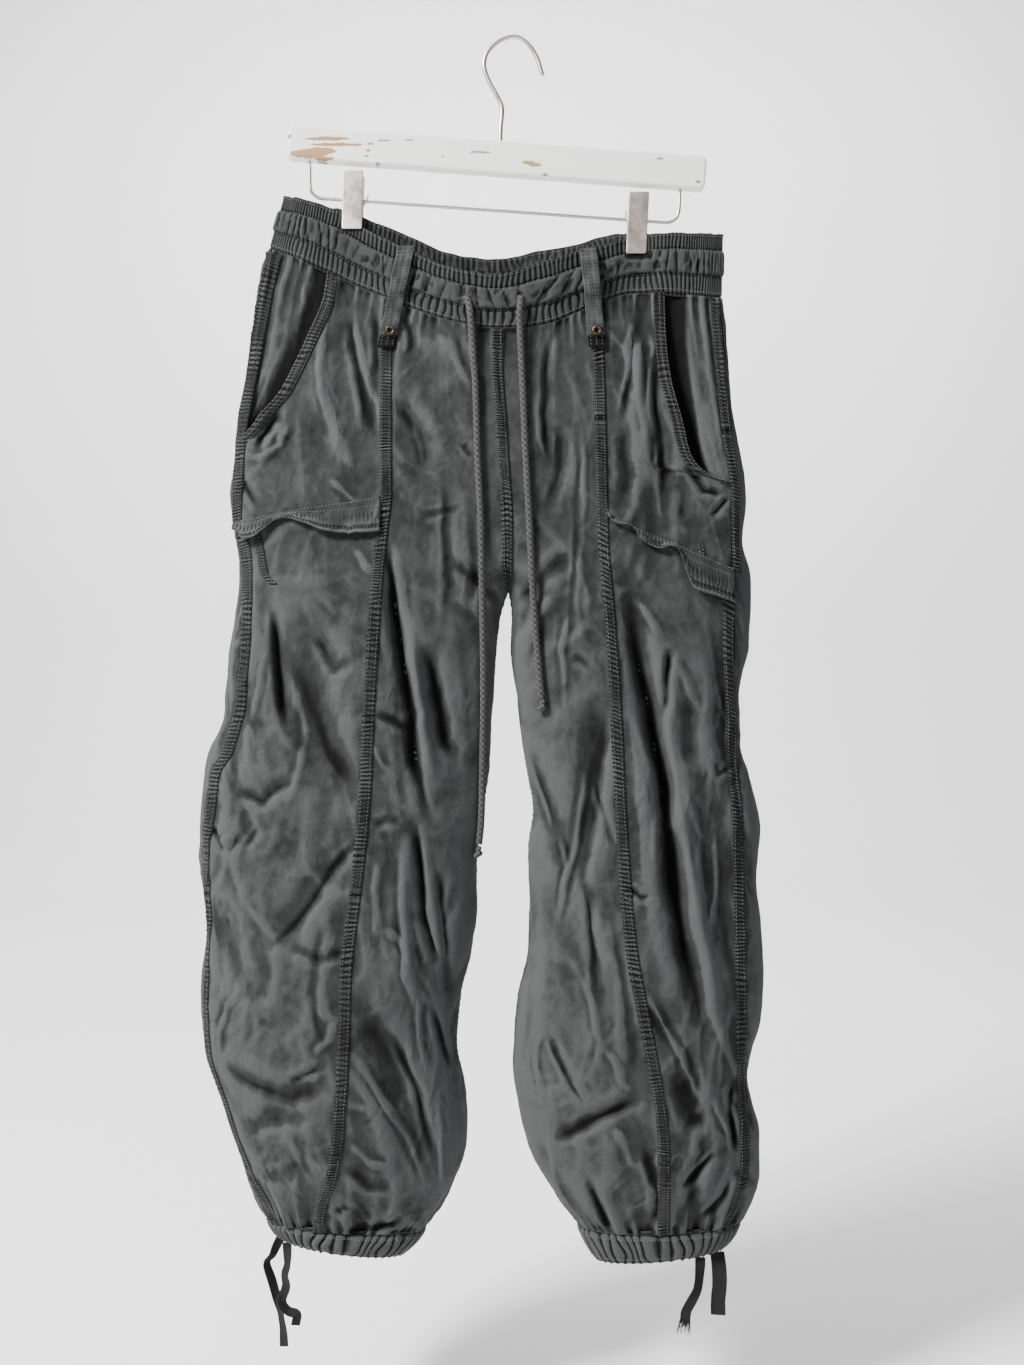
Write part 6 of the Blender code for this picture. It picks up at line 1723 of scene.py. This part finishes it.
def make_clips(wire):
    """Two flat plates a clip, which close on the waistband, and a coil on the rail beside them."""
    for clip in CLIPS:
        pivot = rail_down(clip.x)
        grip = float(smooth(WAIST, "half_depth", np.array(clip.x))) + CLIP_GRIP
        material = satin_metal(f"satin_nickel_{clip.name}", clip.tint, 0.42)
        downs = np.linspace(clip.top, clip.bottom, 48)
        half = np.interp(downs, (clip.top, clip.bottom - 12.0, clip.bottom), (CLIP_TOP_HALF, grip, grip))
        across = np.linspace(-1.0, 1.0, 15)
        ends = np.minimum(downs - clip.top, clip.bottom - downs)
        round_off = np.sqrt(np.clip(CLIP_CORNER ** 2 - (CLIP_CORNER - ends) ** 2, 0, None))
        inset = np.where(ends < CLIP_CORNER, CLIP_CORNER - round_off, 0)
        width = CLIP_WIDTH / 2 - inset
        shift = clip.lean * (downs - clip.top) / (clip.bottom - clip.top)
        for face, name in ((-1, "front"), (1, "back")):
            x = clip.x + shift[:, None] + width[:, None] * across[None, :]
            bow = np.broadcast_to(CLIP_BOW * (1.0 - across ** 2), x.shape)
            y = face * (half[:, None] + CLIP_PLATE - CLIP_EASE + bow)
            points = np.stack([x, y, np.broadcast_to(-downs[:, None], x.shape)], axis=-1)
            normals = np.broadcast_to(np.array((0.0, float(face), 0.0)), points.shape)
            thickness = CLIP_PLATE - CLIP_EASE + bow
            piece = shell(f"clip_{clip.name}_{name}_bent", points, normals, thickness, material, reach=2)
            bevel = piece.modifiers.new("edge", "BEVEL")
            bevel.width = 0.25 * MM
            bevel.segments = 2
            bevel.limit_method = "ANGLE"
            finish_piece(piece, "satin_nickel", f"clip_{clip.name}_{name}")
        make_coil(clip, pivot, wire)


def make_coil(clip, pivot, material):
    """The spring: turns of wire round the rail, with a leg to each plate."""
    (first_x, first_down), (last_x, last_down) = RAIL_STRAIGHT
    slope = math.atan((last_down - first_down) / (last_x - first_x))
    t = np.linspace(0.0, 1.0, 150)
    angle = 2 * np.pi * SPRING_TURNS * t + 0.5
    x = (t - 0.5) * SPRING_LENGTH + SPRING_OFFSET * clip.coil_side
    path = np.stack([x, SPRING_RADIUS * np.cos(angle), SPRING_RADIUS * np.sin(angle)], axis=1)
    leg_end = np.array([[x[0] - 0.4, -3.6, 7.0]])
    other_end = np.array([[x[-1] + 0.4, 3.6, 7.0]])
    path = np.concatenate([smooth_route(np.concatenate([leg_end, path[:1]]), 6)[:-1], path,
                           smooth_route(np.concatenate([path[-1:], other_end]), 6)[1:]])
    turned = np.stack([path[:, 0] * math.cos(slope) + path[:, 2] * math.sin(slope), path[:, 1],
                       -path[:, 0] * math.sin(slope) + path[:, 2] * math.cos(slope)], axis=1)
    curve = bpy.data.curves.new("coil", "CURVE")
    curve.dimensions = "3D"
    curve.bevel_depth = SPRING_WIRE * MM
    curve.bevel_resolution = 3
    curve.use_fill_caps = True
    spline = curve.splines.new("POLY")
    spline.points.add(len(turned) - 1)
    for target, point in zip(spline.points, turned):
        target.co = (*((Vector(point) + Vector((clip.x, 0.0, -pivot))) * MM), 1.0)
    thing = bpy.data.objects.new(f"clip_{clip.name}_spring_coil", curve)
    bpy.context.collection.objects.link(thing)
    curve.materials.append(material)
    finish_piece(thing, "satin_nickel", f"clip_{clip.name}_spring")


def make_wire(name, path, radius, material, node):
    """A bent wire with a round section and domed ends, along a smooth route in the plane of the board."""
    route = smooth_route(path, 240)
    line = np.stack([route[:, 0], np.zeros(len(route)), -route[:, 1]], axis=1)
    _, across, out = frame_along(line)
    sides = 18
    ends = np.minimum(np.arange(len(line)), np.arange(len(line))[::-1])
    size = radius * np.interp(ends, (0, 1, 2), (0.45, 0.85, 1.0))[:, None]
    points = rings_along(line, across, out, size, size, round_angles(sides))
    thing = mesh_object(name, points.reshape(-1, 3), capped_faces(len(line), sides), material)
    return finish_piece(thing, "satin_nickel", node)


def repaint(node, material):
    """Give a frame node that keeps its shape a better material."""
    for slot in bpy.data.objects[node].material_slots:
        slot.material = material


# ---------------------------------------------------------------- studio

def place_camera():
    data = bpy.data.cameras.new("photo_view")
    data.lens = 35.0
    data.sensor_width = 36.0
    camera = bpy.data.objects.new("photo_view", data)
    bpy.context.collection.objects.link(camera)
    camera.location = (-0.0009, -1.194, -0.579)
    camera.rotation_euler = (math.radians(90.0), 0.0, 0.0)
    bpy.context.scene.camera = camera


def area_light(name, place, aim, size, power, tint):
    data = bpy.data.lights.new(name, "AREA")
    data.shape = "RECTANGLE"
    data.size, data.size_y = size
    data.energy = power
    data.color = tint
    light = bpy.data.objects.new(name, data)
    bpy.context.collection.objects.link(light)
    light.location = place
    light.rotation_euler = (Vector(aim) - Vector(place)).to_track_quat("-Z", "Y").to_euler()


def build_studio():
    """A pale floor below the ties that sweeps up far behind the garment, and soft light from the front."""
    white = studio_white()
    ground = -1240.0
    half = 6000.0
    sweep = 900.0
    far = 3600.0
    angle = np.linspace(0.0, np.pi / 2, 14)
    line = [(-7000.0, ground)] + [(far - sweep + sweep * math.sin(a), ground + sweep - sweep * math.cos(a))
                                  for a in angle] + [(far, 6000.0)]
    verts = [(x, y, z) for x in (-half, half) for y, z in line]
    count = len(line)
    faces = [(k, k + 1, count + k + 1, count + k) for k in range(count - 1)]
    mesh_object("studio_sweep", verts, faces, white)
    area_light("key", (-1.9, -1.35, 1.4), (0.0, 0.0, -0.65), (0.7, 0.7), 330.0, (1.0, 0.99, 0.975))
    area_light("fill", (2.2, -2.0, -0.2), (0.0, 0.0, -0.6), (2.0, 2.0), 8.0, (0.96, 0.98, 1.0))
    area_light("top", (0.0, 0.3, 2.0), (0.0, 0.0, -0.6), (2.2, 1.6), 34.0, (1.0, 1.0, 1.0))
    area_light("backdrop", (0.0, 1.6, 1.9), (0.0, 3.6, -0.4), (4.0, 1.0), 190.0, (1.0, 1.0, 1.0))
    world = bpy.data.worlds.new("soft_room")
    world.use_nodes = True
    background = world.node_tree.nodes["Background"]
    background.inputs["Color"].default_value = (0.93, 0.95, 1.0, 1.0)
    background.inputs["Strength"].default_value = 0.2
    bpy.context.scene.world = world


def main():
    place_camera()
    canvas = washed_cotton("washed_cotton", 0.0265)
    shade = washed_cotton("waistband_cotton", 0.0175, 0.8)
    seam_cloth = washed_cotton("seam_cotton", 0.024, 0.8)
    thread = thread_material()
    braid = braid_material()
    tape = tape_material()
    nickel = satin_metal("satin_nickel", (0.66, 0.6, 0.53, 1), 0.36)
    brass = aged_brass()
    front_band = make_waistband(-1, shade)
    make_waistband(1, shade)
    right = make_leg(RIGHT_LEG, canvas, seam_cloth)
    left = make_leg(LEFT_LEG, canvas, seam_cloth)
    fly = make_rise_band("fly_band_stitched", -1, FLY_END_ROW + 0.9, seam_cloth, "fly_band")
    make_rise_band("back_rise_stitched", 1, FLY_END_ROW + 0.5, seam_cloth)
    tree = surface_tree([front_band, fly] + [leg[part] for leg in (right, left)
                                             for part in ("front_panel", "side_upper", "felled_band")])
    make_drawstrings(tree, braid)
    make_belt_loops(tree, canvas, brass)
    make_ankle_ties(tape)
    make_stitches(thread)
    make_clips(nickel)
    repaint("hanger_board", painted_wood())
    make_wire("hanger_hook_bent", HOOK_PATH, HOOK_RADIUS, nickel, "hanger_hook")
    make_wire("hanger_rail_bent", RAIL_PATH, RAIL_RADIUS, nickel, "hanger_rail")
    build_studio()


main()
